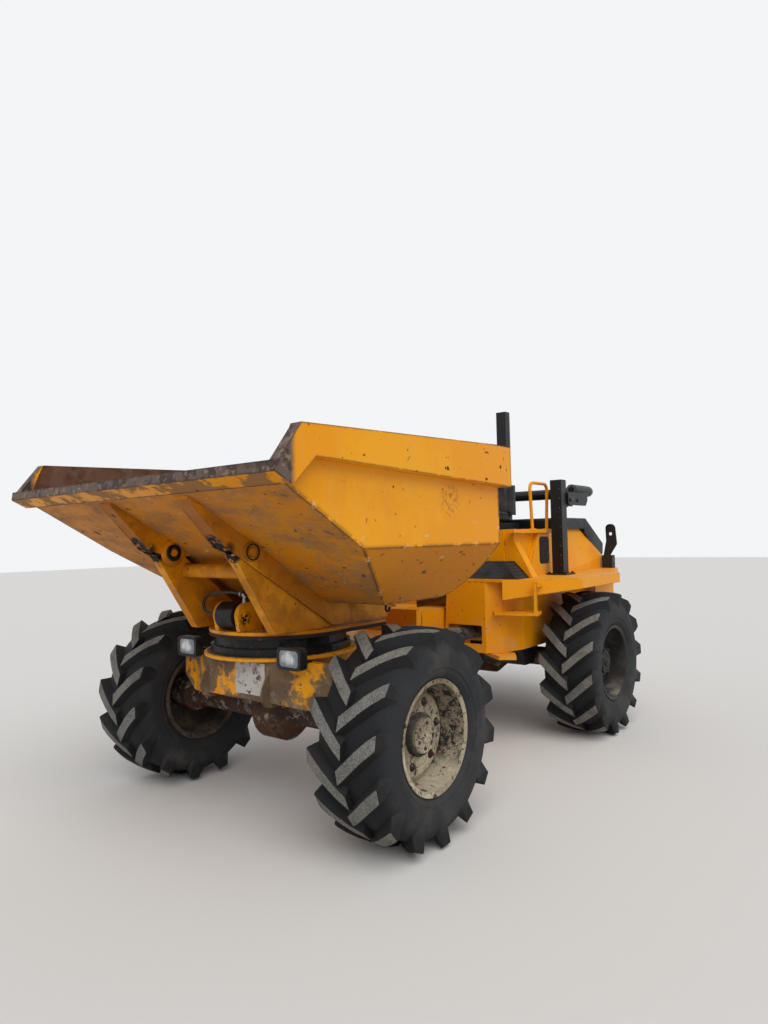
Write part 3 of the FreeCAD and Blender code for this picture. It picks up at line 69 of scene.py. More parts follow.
def linear(red, green, blue):
    # A colour read from a paint card (0 to 255) as the light values that a shader wants.
    def channel(value):
        value /= 255
        return value / 12.92 if value <= 0.04045 else ((value + 0.055) / 1.055) ** 2.4
    return channel(red), channel(green), channel(blue), 1.0


print("front axle", tuple(round(v, 3) for v in spot(0, -WHEEL_BASE / 2, AXLE_HEIGHT)))

# %% [markdown]
# A finish is built like the real one, in coats. The first coat is the paint. Over it come faded
# patches, dust where it can lie, rust where the edges are knocked, and mud near the ground. Each
# coat is a colour, a roughness and a mask that says where it shows. The masks are noise, heights,
# the way a face looks, and the worn edges that the Bevel node finds.

# %% Coats of a finish
class Finish:
    def __init__(self, name, colour, roughness, metallic=0.0, specular=0.3):
        self.material = bpy.data.materials.new(name)
        self.material.use_nodes = True
        self.tree = self.material.node_tree
        self.shader = self.tree.nodes["Principled BSDF"]
        self.shader.inputs["Metallic"].default_value = metallic
        self.shader.inputs["Specular IOR Level"].default_value = specular
        self.coordinates = self.add("ShaderNodeTexCoord")
        self.colour = linear(*colour)
        self.roughness = roughness
        self.height = None

    def add(self, kind, **properties):
        node = self.tree.nodes.new(kind)
        for name, value in properties.items():
            setattr(node, name, value)
        return node

    def join(self, value, socket):
        if isinstance(value, bpy.types.NodeSocket):
            self.tree.links.new(value, socket)
        else:
            socket.default_value = value

    def place(self, stretch=(1, 1, 1), shift=(0, 0, 0)):
        mapping = self.add("ShaderNodeMapping")
        self.tree.links.new(self.coordinates.outputs["Object"], mapping.inputs["Vector"])
        mapping.inputs["Scale"].default_value = stretch
        mapping.inputs["Location"].default_value = shift
        return mapping.outputs["Vector"]

    def step(self, value, low, high):
        # 0 below low, 1 above high, smooth between; low may be the larger.
        node = self.add("ShaderNodeMapRange", clamp=True, interpolation_type="SMOOTHSTEP")
        self.join(value, node.inputs["Value"])
        flip = low > high
        node.inputs["From Min"].default_value = min(low, high)
        node.inputs["From Max"].default_value = max(low, high)
        node.inputs["To Min"].default_value = 1.0 if flip else 0.0
        node.inputs["To Max"].default_value = 0.0 if flip else 1.0
        return node.outputs["Result"]

    def noise(self, scale, low=None, high=None, detail=5.0, stretch=(1, 1, 1), shift=(0, 0, 0), rough=0.6):
        node = self.add("ShaderNodeTexNoise")
        self.tree.links.new(self.place(stretch, shift), node.inputs["Vector"])
        node.inputs["Scale"].default_value = scale
        node.inputs["Detail"].default_value = detail
        node.inputs["Roughness"].default_value = rough
        return node.outputs[0] if low is None else self.step(node.outputs[0], low, high)

    def sums(self, operation, first, second):
        node = self.add("ShaderNodeMath", operation=operation, use_clamp=True)
        self.join(first, node.inputs[0])
        self.join(second, node.inputs[1])
        return node.outputs[0]

    def both(self, *masks):
        result = masks[0]
        for mask in masks[1:]:
            result = self.sums("MULTIPLY", result, mask)
        return result

    def either(self, *masks):
        result = masks[0]
        for mask in masks[1:]:
            result = self.sums("MAXIMUM", result, mask)
        return result

    def part(self, share, mask):
        return self.sums("MULTIPLY", share, mask)

    def axis(self, letter, low, high, source="Object"):
        node = self.add("ShaderNodeSeparateXYZ")
        self.tree.links.new(self.coordinates.outputs[source], node.inputs[0])
        return self.step(node.outputs["XYZ".index(letter)], low, high)

    def facing_up(self, low=0.5, high=0.9):
        return self.axis("Z", low, high, "Normal")

    def near(self, centre, inner, outer):
        # 1 inside the inner distance from a place, 0 beyond the outer one.
        node = self.add("ShaderNodeVectorMath", operation="DISTANCE")
        self.tree.links.new(self.coordinates.outputs["Object"], node.inputs[0])
        node.inputs[1].default_value = centre
        return self.step(node.outputs["Value"], outer, inner)

    def edges(self, radius, low=0.02, high=0.2):
        bevel = self.add("ShaderNodeBevel", samples=4)
        bevel.inputs["Radius"].default_value = radius
        geometry = self.add("ShaderNodeNewGeometry")
        turn = self.add("ShaderNodeVectorMath", operation="DOT_PRODUCT")
        self.tree.links.new(bevel.outputs[0], turn.inputs[0])
        self.tree.links.new(geometry.outputs["True Normal"], turn.inputs[1])
        return self.step(turn.outputs["Value"], 1 - low, 1 - high)

    def coat(self, mask, colour, roughness, raise_by=0.0):
        mix = self.add("ShaderNodeMix", data_type="RGBA")
        self.join(mask, mix.inputs[0])
        self.join(self.colour, mix.inputs[6])
        self.join(linear(*colour), mix.inputs[7])
        self.colour = mix.outputs[2]
        blend = self.add("ShaderNodeMix", data_type="FLOAT")
        self.join(mask, blend.inputs[0])
        self.join(self.roughness, blend.inputs[2])
        self.join(roughness, blend.inputs[3])
        self.roughness = blend.outputs[0]
        if raise_by:
            self.bump(self.part(abs(raise_by), mask), raise_by < 0)

    def patches(self, share, scale, low, high, colour, roughness, raise_by=0.0, where=None, **noise):
        # A coat in ragged patches, at this share of its strength and only where a mask allows it.
        mask = self.noise(scale, low, high, **noise)
        if where is not None:
            mask = self.both(where, mask)
        self.coat(self.part(share, mask), colour, roughness, raise_by)

    def bump(self, height, inward=False):
        if inward:
            height = self.sums("SUBTRACT", 1.0, height)
        self.height = height if self.height is None else self.sums("ADD", self.height, height)

    def done(self, bump_depth=0.001, soften=0.0):
        self.join(self.colour, self.shader.inputs["Base Color"])
        self.join(self.roughness, self.shader.inputs["Roughness"])
        normal = None
        if soften:
            bevel = self.add("ShaderNodeBevel", samples=4)
            bevel.inputs["Radius"].default_value = soften
            normal = bevel.outputs[0]
        if self.height is not None:
            bump = self.add("ShaderNodeBump")
            bump.inputs["Distance"].default_value = bump_depth
            self.join(self.height, bump.inputs["Height"])
            if normal is not None:
                self.join(normal, bump.inputs["Normal"])
            normal = bump.outputs[0]
        if normal is not None:
            self.join(normal, self.shader.inputs["Normal"])
        return self.material


# %% [markdown]
# The machine's colours are few: a yellow orange that has faded and dulled, brown rust, pale gravel
# dust, dark mud, near-black grease. They are named once here and used in every finish.

# %% Colours
ORANGE = (230, 148, 0)
ORANGE_FADED = (237, 166, 22)
ORANGE_DEEP = (212, 122, 0)
ORANGE_BROWN = (150, 88, 26)
RUST = (92, 52, 30)
RUST_DARK = (46, 32, 26)
RUST_BROWN = (112, 80, 60)
DUST = (172, 152, 128)
MUD = (112, 96, 82)
GREASE = (14, 13, 13)
BLACK = (14, 14, 16)
BARE_STEEL = (120, 110, 102)
CREAM = (186, 174, 148)
TIP_PIN = (0.315, -1.712, 1.420)
RAM_LUG = (0.102, -1.529, 1.066)
HIGH_IN_SKIP = (0, -1.15, 2.25)
LOST_MARK = (1.02, -0.93, 1.66)
print("orange", ORANGE)

# %% [markdown]
# The orange of the chassis and hood is gloss paint with years of gravel on it. Small chips sit
# everywhere, larger ones along the edges, and dust greys the parts near the ground. The nose and
# the axle's wing plate get it worst: there the paint shows only in patches.

# %% Orange chassis paint
def weathered_orange(name):
    finish = Finish(name, ORANGE, 0.42, specular=0.22)
    finish.patches(0.6, 1.3, 0.45, 0.62, ORANGE_FADED, 0.46)
    finish.patches(0.5, 2.6, 0.55, 0.75, ORANGE_DEEP, 0.4, shift=(3, 1, 0))
    # streaks
    finish.patches(0.12, 6.0, 0.52, 0.78, DUST, 0.7, stretch=(3.0, 3.0, 0.35))
    return finish


def knocked_edges(finish, chip_size=38.0):
    # small chips anywhere
    finish.patches(1.0, chip_size, 0.69, 0.71, RUST, 0.7, -0.4, detail=3.0)
    # bare steel along the edges
    finish.patches(1.0, 14.0, 0.49, 0.55, RUST_DARK, 0.65, -0.4, where=finish.edges(0.008))


def orange_paint():
    finish = weathered_orange("orange paint")
    low = finish.axis("Z", 1.0, 0.55)
    # dried splashes low down
    finish.patches(0.35, 9.0, 0.45, 0.62, DUST, 0.85, 0.25, where=low)
    finish.patches(0.3, 5.0, 0.4, 0.7, DUST, 0.8, where=finish.facing_up())
    knocked_edges(finish)
    return finish.done(0.0012, 0.003)


def muddy_orange():
    # The front frame: caked in grey-brown mud towards the nose. The mud is painted darker than it is, as
    # painted shade on the nose.
    finish = weathered_orange("muddy orange paint")
    forward = finish.axis("Y", -1.15, -1.42)
    low = finish.axis("Z", 0.95, 0.72)
    mud_and_shade = finish.both(finish.either(forward, finish.part(0.6, low)),
                       finish.noise(3.6, 0.43, 0.49, detail=10.0, rough=0.65, shift=(2, 1, 0)))
    # grey-brown mud, painted darker as painted shade on the nose
    finish.coat(finish.part(0.92, mud_and_shade), (102, 90, 76), 0.9, 0.5)
    # darker shades
    finish.patches(0.5, 5.0, 0.46, 0.62, (80, 69, 57), 0.9, 0.3, where=mud_and_shade, shift=(5, 0, 2))
    # dark flecks
    finish.patches(0.6, 30.0, 0.6, 0.66, (66, 54, 44), 0.9, 0.3, where=mud_and_shade, shift=(5, 0, 2))
    finish.patches(0.6, 15.0, 0.55, 0.62, (136, 122, 106), 0.95, 0.4, where=low, shift=(1, 8, 2))
    knocked_edges(finish)
    return finish.done(0.002, 0.003)


def pivot_smears(finish):
    # Grease squeezed out where the arms enter the skip's ribs, on both sides.
    x, y, z = TIP_PIN
    lumps = ((-0.175, 0.052, 0.035, 0.055), (-0.125, 0.022, 0.045, 0.065), (-0.075, -0.012, 0.035, 0.055),
             (-0.030, -0.052, 0.015, 0.035))
    smears = finish.either(*[finish.near(spot(sign * x, y + along, z + drop), inner, outer)
                             for sign in (1, -1) for along, drop, inner, outer in lumps])
    finish.patches(1.0, 40.0, 0.4, 0.44, GREASE, 0.62, 0.5, where=smears, detail=8.0, stretch=(0.5, 1, 1))


def arm_paint():
    finish = weathered_orange("arm paint")
    facing = finish.axis("Y", -0.2, -0.6, "Normal")
    arms_only = finish.axis("Z", 1.26, 1.22)
    # whitish scrapes on the front of the arms
    finish.patches(0.75, 9.0, 0.58, 0.64, (176, 166, 154), 0.7, where=finish.both(facing, arms_only),
                   detail=7.0, stretch=(4.0, 0.8, 0.8))
    finish.patches(0.5, 9.0, 0.4, 0.6, MUD, 0.85, where=finish.facing_up())
    finish.patches(0.6, 2.4, 0.38, 0.58, (166, 96, 20), 0.6, shift=(4, 2, 0))
    finish.patches(0.45, 7.0, 0.5, 0.6, ORANGE_BROWN, 0.65, shift=(1, 2, 6))
    # grease on the ram's lug
    finish.patches(1.0, 44.0, 0.46, 0.5, GREASE, 0.4, 0.3,
                   where=finish.near(spot(*RAM_LUG), 0.015, 0.05))
    edge = finish.both(finish.axis("Z", 0.986, 0.980), finish.axis("Z", 0.955, 0.960))
    finish.patches(1.0, 18.0, 0.3, 0.36, RUST_DARK, 0.7, -0.4, where=edge, detail=8.0)
    knocked_edges(finish)
    pivot_smears(finish)
    return finish.done(0.0014, 0.003)


def rib_paint():
    finish = weathered_orange("rib paint")
    under = finish.axis("Z", -0.1, -0.7, "Normal")
    # painted shade: faces that look down get a deeper brown orange
    finish.coat(finish.part(0.75, under), (158, 92, 18), 0.6)
    finish.patches(0.5, 4.0, 0.42, 0.56, (120, 98, 78), 0.8, where=under)
    finish.patches(0.75, 2.6, 0.36, 0.56, (158, 90, 20), 0.6, shift=(4, 2, 0))
    finish.patches(0.5, 7.0, 0.5, 0.6, ORANGE_BROWN, 0.65, shift=(1, 2, 6))
    # scuffs below
    finish.patches(1.0, 11.0, 0.64, 0.67, RUST_DARK, 0.6, -0.3, where=under, detail=8.0, shift=(9, 1, 3))
    knocked_edges(finish, 24.0)
    pivot_smears(finish)
    return finish.done(0.0014, 0.003)


# %% Skip paint
def skip_inside(finish):
    # 1 on faces that look towards a place high in the middle of the hopper.
    away = finish.add("ShaderNodeVectorMath", operation="SUBTRACT")
    finish.tree.links.new(finish.coordinates.outputs["Object"], away.inputs[0])
    away.inputs[1].default_value = spot(*HIGH_IN_SKIP)
    inward = finish.add("ShaderNodeVectorMath", operation="DOT_PRODUCT")
    finish.tree.links.new(away.outputs[0], inward.inputs[0])
    finish.tree.links.new(finish.coordinates.outputs["Normal"], inward.inputs[1])
    return finish.step(inward.outputs["Value"], -0.02, -0.06)


def skip_paint():
    # Outside as the chassis. Inside it is scoured to brown steel; rim and lip are knocked bare.
    finish = weathered_orange("skip paint")
    under = finish.axis("Z", -0.15, -0.6, "Normal")
    # painted shade: faces that look down get a deeper orange
    finish.coat(finish.part(0.65, under), (184, 108, 14), 0.55)
    front_slope = finish.both(under, finish.axis("Y", -0.15, -0.40, "Normal"))
    # grey-brown haze on the front slope
    finish.patches(0.7, 3.2, 0.4, 0.66, (120, 96, 72), 0.85, where=front_slope, detail=12.0, rough=0.7,
                   stretch=(1.0, 1.6, 1.6))
    # paler grime
    finish.patches(0.35, 11.0, 0.5, 0.64, (136, 118, 98), 0.85, where=front_slope, detail=8.0,
                   shift=(1, 4, 0))
    # dark scuffs
    finish.patches(0.9, 15.0, 0.64, 0.67, (70, 50, 36), 0.7, -0.3, where=under, detail=7.0,
                   stretch=(1.0, 1.0, 2.0), shift=(4, 1, 2))
    # ragged dark folds
    finish.patches(0.9, 10.0, 0.4, 0.47, RUST_DARK, 0.7, -0.3, where=finish.edges(0.024, 0.005, 0.06),
                   detail=8.0)
    # cream chips
    finish.patches(1.0, 22.0, 0.6, 0.63, (204, 190, 166), 0.65, where=finish.edges(0.03, 0.01, 0.08),
                   shift=(7, 3, 1))
    finish.patches(0.1, 5.0, 0.5, 0.8, DUST, 0.7, stretch=(3.0, 3.0, 0.3))
    round_patch = finish.near(spot(*LOST_MARK), 0.02, 0.13)
    finish.patches(0.7, 46.0, 0.5, 0.56, ORANGE_BROWN, 0.6, where=round_patch)
    # pale scrapes
    finish.patches(0.6, 12.0, 0.66, 0.7, (206, 186, 166), 0.6, detail=8.0, stretch=(1.0, 0.7, 2.0),
                   shift=(6, 3, 1))
    inside = skip_inside(finish)
    finish.coat(inside, RUST_BROWN, 0.8)
    finish.patches(1.0, 4.0, 0.4, 0.6, RUST, 0.8, 0.2, where=inside)
    finish.patches(0.6, 11.0, 0.52, 0.62, MUD, 0.9, 0.3, where=inside, shift=(2, 7, 1))
    knocked_edges(finish, 30.0)
    return finish.done(0.0015, 0.003)


def rim_paint():
    # The lip and the top of the rim have lost their paint; it holds on below in ragged patches.
    finish = weathered_orange("rim paint")
    lip = finish.both(finish.axis("Y", -2.16, -2.20), finish.axis("Z", -0.7, -0.4, "Normal"))
    top = finish.both(finish.facing_up(0.5, 0.8), finish.axis("Z", 1.70, 1.74))
    front = finish.axis("Y", -0.55, -0.75, "Normal")
    bare = finish.both(finish.either(lip, top, front), finish.noise(7.0, 0.30, 0.36))
    finish.coat(bare, (98, 82, 74), 0.6, -0.5)
    finish.patches(0.7, 16.0, 0.48, 0.58, RUST_DARK, 0.6, 0.3, where=bare, shift=(1, 2, 7))
    finish.patches(0.6, 30.0, 0.55, 0.62, (150, 126, 104), 0.7, 0.3, where=bare, shift=(3, 3, 3))
    under_lip = finish.both(finish.axis("Y", -1.95, -2.1), finish.axis("Z", -0.1, -0.6, "Normal"))
    finish.patches(0.8, 8.0, 0.44, 0.52, (120, 92, 66), 0.8, -0.3, where=under_lip)
    # ragged edges
    finish.patches(1.0, 9.0, 0.38, 0.46, RUST_DARK, 0.6, -0.5, where=finish.edges(0.016))
    rim_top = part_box("skip_rim")[1].z
    # a bare line along the top
    finish.patches(1.0, 16.0, 0.4, 0.46, (66, 52, 46), 0.7, -0.4,
                   where=finish.axis("Z", rim_top - 0.014, rim_top - 0.007), detail=8.0, shift=(2, 5, 8))
    # larger knocks
    finish.patches(1.0, 13.0, 0.66, 0.69, RUST_DARK, 0.6, -0.5, detail=6.0, shift=(6, 6, 1))
    knocked_edges(finish, 24.0)
    return finish.done(0.002, 0.003)


# %% [markdown]
# The black parts are satin paint that shows every grain of dust. Grease-covered steel is darker
# and shinier. Both share a helper, so that only colour and gloss differ.

# %% Black, steel and iron finishes
def black_finish(name, colour, roughness, dust_share, metallic=0.0):
    finish = Finish(name, colour, roughness, metallic)
    finish.patches(dust_share, 4.0, 0.4, 0.7, (120, 112, 104), 0.8)
    finish.patches(dust_share * 2.2, 7.0, 0.35, 0.65, (140, 130, 118), 0.85, where=finish.facing_up())
    finish.patches(0.5, 22.0, 0.54, 0.62, BARE_STEEL, 0.5, where=finish.edges(0.004))
    finish.bump(finish.noise(180.0, 0.3, 0.7, detail=2.0))
    return finish.done(0.0003, 0.002)


def perforated_black():
    # Black sheet with round holes in rows, on the cover over the driver's feet. The holes are painted
    # near-black, as painted shade behind the sheet.
    finish = Finish("perforated black sheet", BLACK, 0.5)
    holes = finish.add("ShaderNodeTexVoronoi")
    holes.inputs["Scale"].default_value = 46.0
    holes.inputs["Randomness"].default_value = 0.0
    finish.tree.links.new(finish.place(), holes.inputs["Vector"])
    finish.patches(0.25, 5.0, 0.4, 0.7, (96, 92, 88), 0.8)
    # painted shade: each hole near-black
    finish.coat(finish.step(holes.outputs["Distance"], 0.30, 0.24), (3, 3, 4), 0.9, -0.8)
    return finish.done(0.002, 0.002)


def greasy_steel():
    finish = Finish("greasy steel", (20, 19, 18), 0.45, 0.1)
    finish.patches(1.0, 14.0, 0.42, 0.55, GREASE, 0.34, 0.5)
    finish.patches(0.25, 26.0, 0.62, 0.7, MUD, 0.85, 0.3, shift=(4, 0, 1))
    return finish.done(0.002, 0.002)


def muddy_iron():
    finish = Finish("muddy iron", (60, 46, 38), 0.75)
    finish.patches(1.0, 8.0, 0.45, 0.6, (84, 56, 38), 0.8)
    finish.patches(1.0, 12.0, 0.5, 0.58, (116, 104, 92), 0.95, 0.8, shift=(2, 2, 2))
    finish.patches(0.8, 24.0, 0.58, 0.64, (168, 158, 146), 0.95, 0.4)
    finish.patches(0.6, 17.0, 0.6, 0.68, RUST, 0.9, 0.2, shift=(8, 1, 4))
    # rust brown on the casing's lower half
    finish.patches(0.85, 10.0, 0.36, 0.46, (74, 44, 26), 0.85, where=finish.axis("Z", 0.5, 0.45),
                   shift=(3, 0, 5))
    return finish.done(0.005, 0.004)


def bright_rod():
    finish = Finish("bright rod", (178, 176, 172), 0.3, 0.9)
    finish.patches(0.7, 12.0, 0.4, 0.65, (96, 92, 86), 0.5)
    return finish.done()


def greasy_grey():
    # The steering ram in its window: pale grease with dirt pressed into it.
    finish = Finish("greasy grey steel", (112, 106, 100), 0.5, 0.2)
    finish.patches(1.0, 20.0, 0.46, 0.58, (54, 50, 47), 0.4, 0.5)
    finish.patches(0.5, 40.0, 0.56, 0.64, (150, 142, 132), 0.7, 0.3)
    return finish.done(0.002, 0.002)


def flaking_cream():
    finish = Finish("flaking cream paint", CREAM, 0.6)
    finish.patches(1.0, 6.0, 0.42, 0.6, (150, 138, 116), 0.75)
    finish.patches(0.7, 3.4, 0.5, 0.64, (122, 106, 88), 0.85, shift=(7, 0, 0))
    finish.coat(finish.part(0.5, finish.axis("Z", 0.50, 0.70)), (112, 94, 74), 0.85)
    # flakes
    finish.patches(1.0, 62.0, 0.555, 0.585, (44, 37, 32), 0.85, -0.5, detail=7.0, rough=0.8)
    finish.patches(1.0, 18.0, 0.565, 0.585, (50, 42, 36), 0.85, -0.5, detail=9.0, rough=0.75,
                   shift=(2, 2, 1))
    return finish.done(0.0014, 0.003)


def mottled_barrel():
    # Inside the rim the cream has gone in large patches, and gravel dust lies at the bottom.
    finish = Finish("mottled barrel", (38, 33, 30), 0.7)
    finish.patches(0.9, 17.0, 0.475, 0.5, (148, 136, 114), 0.75, 0.4, detail=12.0, rough=0.85)
    finish.patches(1.0, 48.0, 0.53, 0.56, (40, 35, 31), 0.8, detail=8.0, rough=0.8, shift=(1, 1, 4))
    # gravel dust at the bottom
    finish.patches(1.0, 8.0, 0.36, 0.46, (174, 162, 138), 0.9, 0.3, where=finish.axis("Z", 0.4, 0.32))
    # rust spots in it
    finish.patches(1.0, 14.0, 0.56, 0.6, (104, 66, 40), 0.9, 0.2, where=finish.axis("Z", 0.42, 0.36),
                   shift=(5, 5, 1))
    return finish.done(0.002, 0.003)


# %% [markdown]
# Tyre rubber is never pure black outdoors. The carcass between the lugs is painted near-black, as painted
# shade in the tread's depth; the sidewall is a little paler, and the lug tops are scuffed to a dusty grey.
# Two attributes say where: tread is 1 on the faces that touch the road, and void is 1 on everything in the
# tread's depth.

# %% Rubber, seat vinyl and lamp glass
def inner_rim():
    # The side of a wheel that faces the axle: dull brown, hardly any paint, splashed with mud.
    finish = Finish("inner rim", (64, 54, 45), 0.85)
    finish.patches(1.0, 7.0, 0.46, 0.58, (86, 74, 60), 0.9)
    finish.patches(1.0, 26.0, 0.56, 0.62, (42, 36, 32), 0.85, detail=7.0)
    return finish.done(0.002, 0.003)


def tyre_rubber():
    finish = Finish("tyre rubber", (35, 36, 38), 0.75)
    finish.patches(0.5, 4.0, 0.46, 0.62, (58, 58, 58), 0.85, detail=8.0)
    finish.patches(0.5, 7.0, 0.56, 0.68, (30, 31, 33), 0.6, shift=(4, 4, 4))
    finish.patches(0.25, 3.0, 0.5, 0.72, (104, 96, 86), 0.9, shift=(1, 6, 2))
    void = finish.add("ShaderNodeAttribute", attribute_name="void").outputs["Fac"]
    # painted shade: near-black in the tread's depth between the lugs
    finish.coat(finish.part(0.9, void), (19, 20, 22), 0.75)
    tread = finish.add("ShaderNodeAttribute", attribute_name="tread").outputs["Fac"]
    finish.coat(finish.part(0.95, tread), (104, 102, 97), 0.9)
    finish.patches(0.8, 150.0, 0.46, 0.6, (146, 143, 134), 0.95, where=tread, detail=6.0, rough=0.8)
    finish.patches(0.7, 110.0, 0.54, 0.62, (66, 65, 62), 0.9, where=tread, shift=(3, 3, 0))
    finish.patches(0.6, 9.0, 0.46, 0.66, (80, 79, 76), 0.9, where=tread, shift=(0, 3, 9))
    finish.bump(finish.part(0.5, finish.noise(90.0, 0.3, 0.7, detail=3.0)))
    return finish.done(0.0008)


def seat_vinyl():
    finish = Finish("seat vinyl", (30, 30, 32), 0.5)
    finish.patches(0.3, 6.0, 0.4, 0.7, (110, 104, 96), 0.8)
    finish.bump(finish.part(0.6, finish.noise(260.0, 0.35, 0.65, detail=2.0)))
    return finish.done(0.0006)


LAMP_CENTRE = (0.412, -1.4975, 0.884)
LENS_HALF, LENS_ROUND = (0.068, 0.043), 0.022


def lamp_glass():
    # The lens with its bright bowl behind, seen as one: grey at the edge, and pale in the middle, where the
    # bowl's shine is a painted reflection.
    finish = Finish("lamp glass", (126, 132, 138), 0.25, 0.0, 0.5)
    for sign in (1, -1):
        x, y, z = LAMP_CENTRE
        for across, up, inner, outer in ((0.0, 0.008, 0.012, 0.046), (0.026, -0.004, 0.006, 0.030),
                                         (-0.030, 0.0, 0.004, 0.026)):
            # painted reflection of the bowl behind the lens
            painted_reflection = finish.near(spot(sign * x + across, y - 0.022, z + up), inner, outer)
            finish.coat(finish.part(0.85, painted_reflection), (226, 230, 232), 0.2)
    finish.patches(0.4, 55.0, 0.48, 0.58, (92, 98, 104), 0.3, stretch=(1.0, 1.0, 0.12))
    finish.patches(0.3, 30.0, 0.5, 0.64, DUST, 0.7)
    return finish.done(0.001)


def coloured_lens(name, colour):
    finish = Finish(name, colour, 0.25, specular=0.5)
    finish.patches(0.3, 24.0, 0.45, 0.6, DUST, 0.7)
    return finish.done(0.001)


ORANGE_PAINT = orange_paint()
MUDDY_ORANGE = muddy_orange()
ARM_PAINT = arm_paint()
RIB_PAINT = rib_paint()
SKIP_PAINT = skip_paint()
RIM_PAINT = rim_paint()
BLACK_PAINT = black_finish("black paint", BLACK, 0.42, 0.045)
BLACK_PLASTIC = black_finish("black plastic", (20, 20, 21), 0.5, 0.07)
BLACK_RUBBER = black_finish("black rubber", (24, 24, 25), 0.7, 0.15)
CHASSIS_BLACK = black_finish("chassis black", (30, 27, 25), 0.65, 0.3)
PERFORATED = perforated_black()
GREASY_STEEL = greasy_steel()
GREASY_GREY = greasy_grey()
BARE_IRON = black_finish("bare iron", (96, 92, 88), 0.5, 0.2, 0.4)
MUDDY_IRON = muddy_iron()
BRIGHT_ROD = bright_rod()
CREAM_PAINT = flaking_cream()
BARREL_PAINT = mottled_barrel()
INNER_RIM = inner_rim()
RUBBER = tyre_rubber()
VINYL = seat_vinyl()
GLASS = lamp_glass()
BLACK_HOSE = black_finish("black hose", (20, 20, 21), 0.45, 0.25)
RED_LENS = coloured_lens("red lens", (150, 18, 14))
AMBER_LENS = coloured_lens("amber lens", (214, 108, 12))


def bare_plate():
    # A square of old white paint, worn and rust-stained, with nothing written on it.
    finish = Finish("bare plate", (188, 182, 174), 0.7)
    finish.patches(0.7, 14.0, 0.52, 0.6, (132, 92, 84), 0.8, detail=9.0)
    finish.patches(1.0, 30.0, 0.58, 0.62, (92, 80, 70), 0.85, detail=6.0, shift=(2, 6, 1))
    return finish.done(0.0006)


WORN_WHITE = bare_plate()
print("finishes", len(bpy.data.materials))

# %% [markdown]
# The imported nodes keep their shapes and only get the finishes. A table says which node wears
# what, and everything not in it is orange.

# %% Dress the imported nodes
FINISH_OF = {
    "skip_hopper": SKIP_PAINT, "skip_rim": RIM_PAINT, "skip_ribs": RIB_PAINT, "skip_ram_lugs": RIB_PAINT,
    "tip_pins": RIB_PAINT, "slew_ring_upper": GREASY_STEEL, "slew_ring_lower": GREASY_STEEL,
    "front_frame": MUDDY_ORANGE, "swivel_arms": ARM_PAINT, "swivel_base": ARM_PAINT,
    "tip_ram_barrel": GREASY_STEEL, "tip_ram_rod": BRIGHT_ROD, "steer_ram_barrel": GREASY_GREY,
    "steer_ram_rod": BRIGHT_ROD, "front_axle": MUDDY_IRON, "rear_axle": MUDDY_IRON,
    "headlamp_housings": BLACK_PLASTIC, "headlamp_lenses": GLASS, "belly_guard": CHASSIS_BLACK,
    "hood_rear": BLACK_PAINT, "console": PERFORATED, "seat_platform": BLACK_PAINT,
    "bonnet_lid": BLACK_PAINT, "engine_block": MUDDY_IRON, "rops_posts": BLACK_PAINT,
    "rops_hoop": BLACK_PAINT, "seat_base": BLACK_PLASTIC, "exhaust_stack": BLACK_PAINT,
    "steering_column": BLACK_PLASTIC, "steering_wheel": BLACK_PLASTIC, "rear_lamps": BLACK_PLASTIC,
    "tow_hitch": GREASY_STEEL,
}
for name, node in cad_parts.items():
    node.data.materials.clear()
    node.data.materials.append(FINISH_OF.get(name, ORANGE_PAINT))
print("dressed", len(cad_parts))

# %% [markdown]
# Small helpers make meshes in the model's frame: a mesh from points and faces, a copy moved to
# its place, and a join of several pieces into one that rides on a body.

# %% Mesh helpers
def new_object(name, data):
    piece = bpy.data.objects.new(name, data)
    bpy.context.scene.collection.objects.link(piece)
    return piece


def final_mesh(piece):
    bpy.context.view_layer.update()
    return bpy.data.meshes.new_from_object(piece.evaluated_get(bpy.context.evaluated_depsgraph_get()))


def band(first, second, count):
    # The faces between two rings of as many points.
    return [(first + k, first + (k + 1) % count, second + (k + 1) % count, second + k) for k in range(count)]


def make_piece(name, points, faces, material, smooth=True):
    mesh = bpy.data.meshes.new(name)
    mesh.from_pydata([tuple(point) for point in points], [], faces)
    mesh.materials.append(material)
    bm = bmesh.new()
    bm.from_mesh(mesh)
    bmesh.ops.remove_doubles(bm, verts=bm.verts, dist=1e-6)
    bmesh.ops.recalc_face_normals(bm, faces=bm.faces)
    bm.to_mesh(mesh)
    bm.free()
    for polygon in mesh.polygons:
        polygon.use_smooth = smooth
    return new_object(name, mesh)


def moved(piece, matrix):
    piece.data.transform(matrix)
    if matrix.determinant() < 0:
        piece.data.flip_normals()
    piece.data.update()
    return piece


def gathered(name, pieces):
    # Joins pieces into one object; each keeps its own material.
    if len(pieces) == 1:
        pieces[0].name = name
        return pieces[0]
    bpy.ops.object.select_all(action="DESELECT")
    for piece in pieces:
        piece.select_set(True)
    bpy.context.view_layer.objects.active = pieces[0]
    bpy.ops.object.join()
    pieces[0].name = name
    return pieces[0]


def turned(name, section, material, steps=96, smooth=True):
    # Turns a section of (across, radius) about the X axis; an open section closes on itself.
    points = []
    faces = []
    count = len(section)
    for step in range(steps):
        turn = 2 * math.pi * step / steps
        points += [(x, radius * math.cos(turn), radius * math.sin(turn)) for x, radius in section]
        faces += band(step * count, (step + 1) % steps * count, count)
    return make_piece(name, points, faces, material, smooth)


def shade_by_angle(piece, angle=35):
    # Keeps sharp edges sharp and the rest smooth.
    bm = bmesh.new()
    bm.from_mesh(piece.data)
    for edge in bm.edges:
        if len(edge.link_faces) == 2:
            edge.smooth = edge.calc_face_angle(0) < math.radians(angle)
    bm.to_mesh(piece.data)
    bm.free()
    return piece


print("helpers ready")

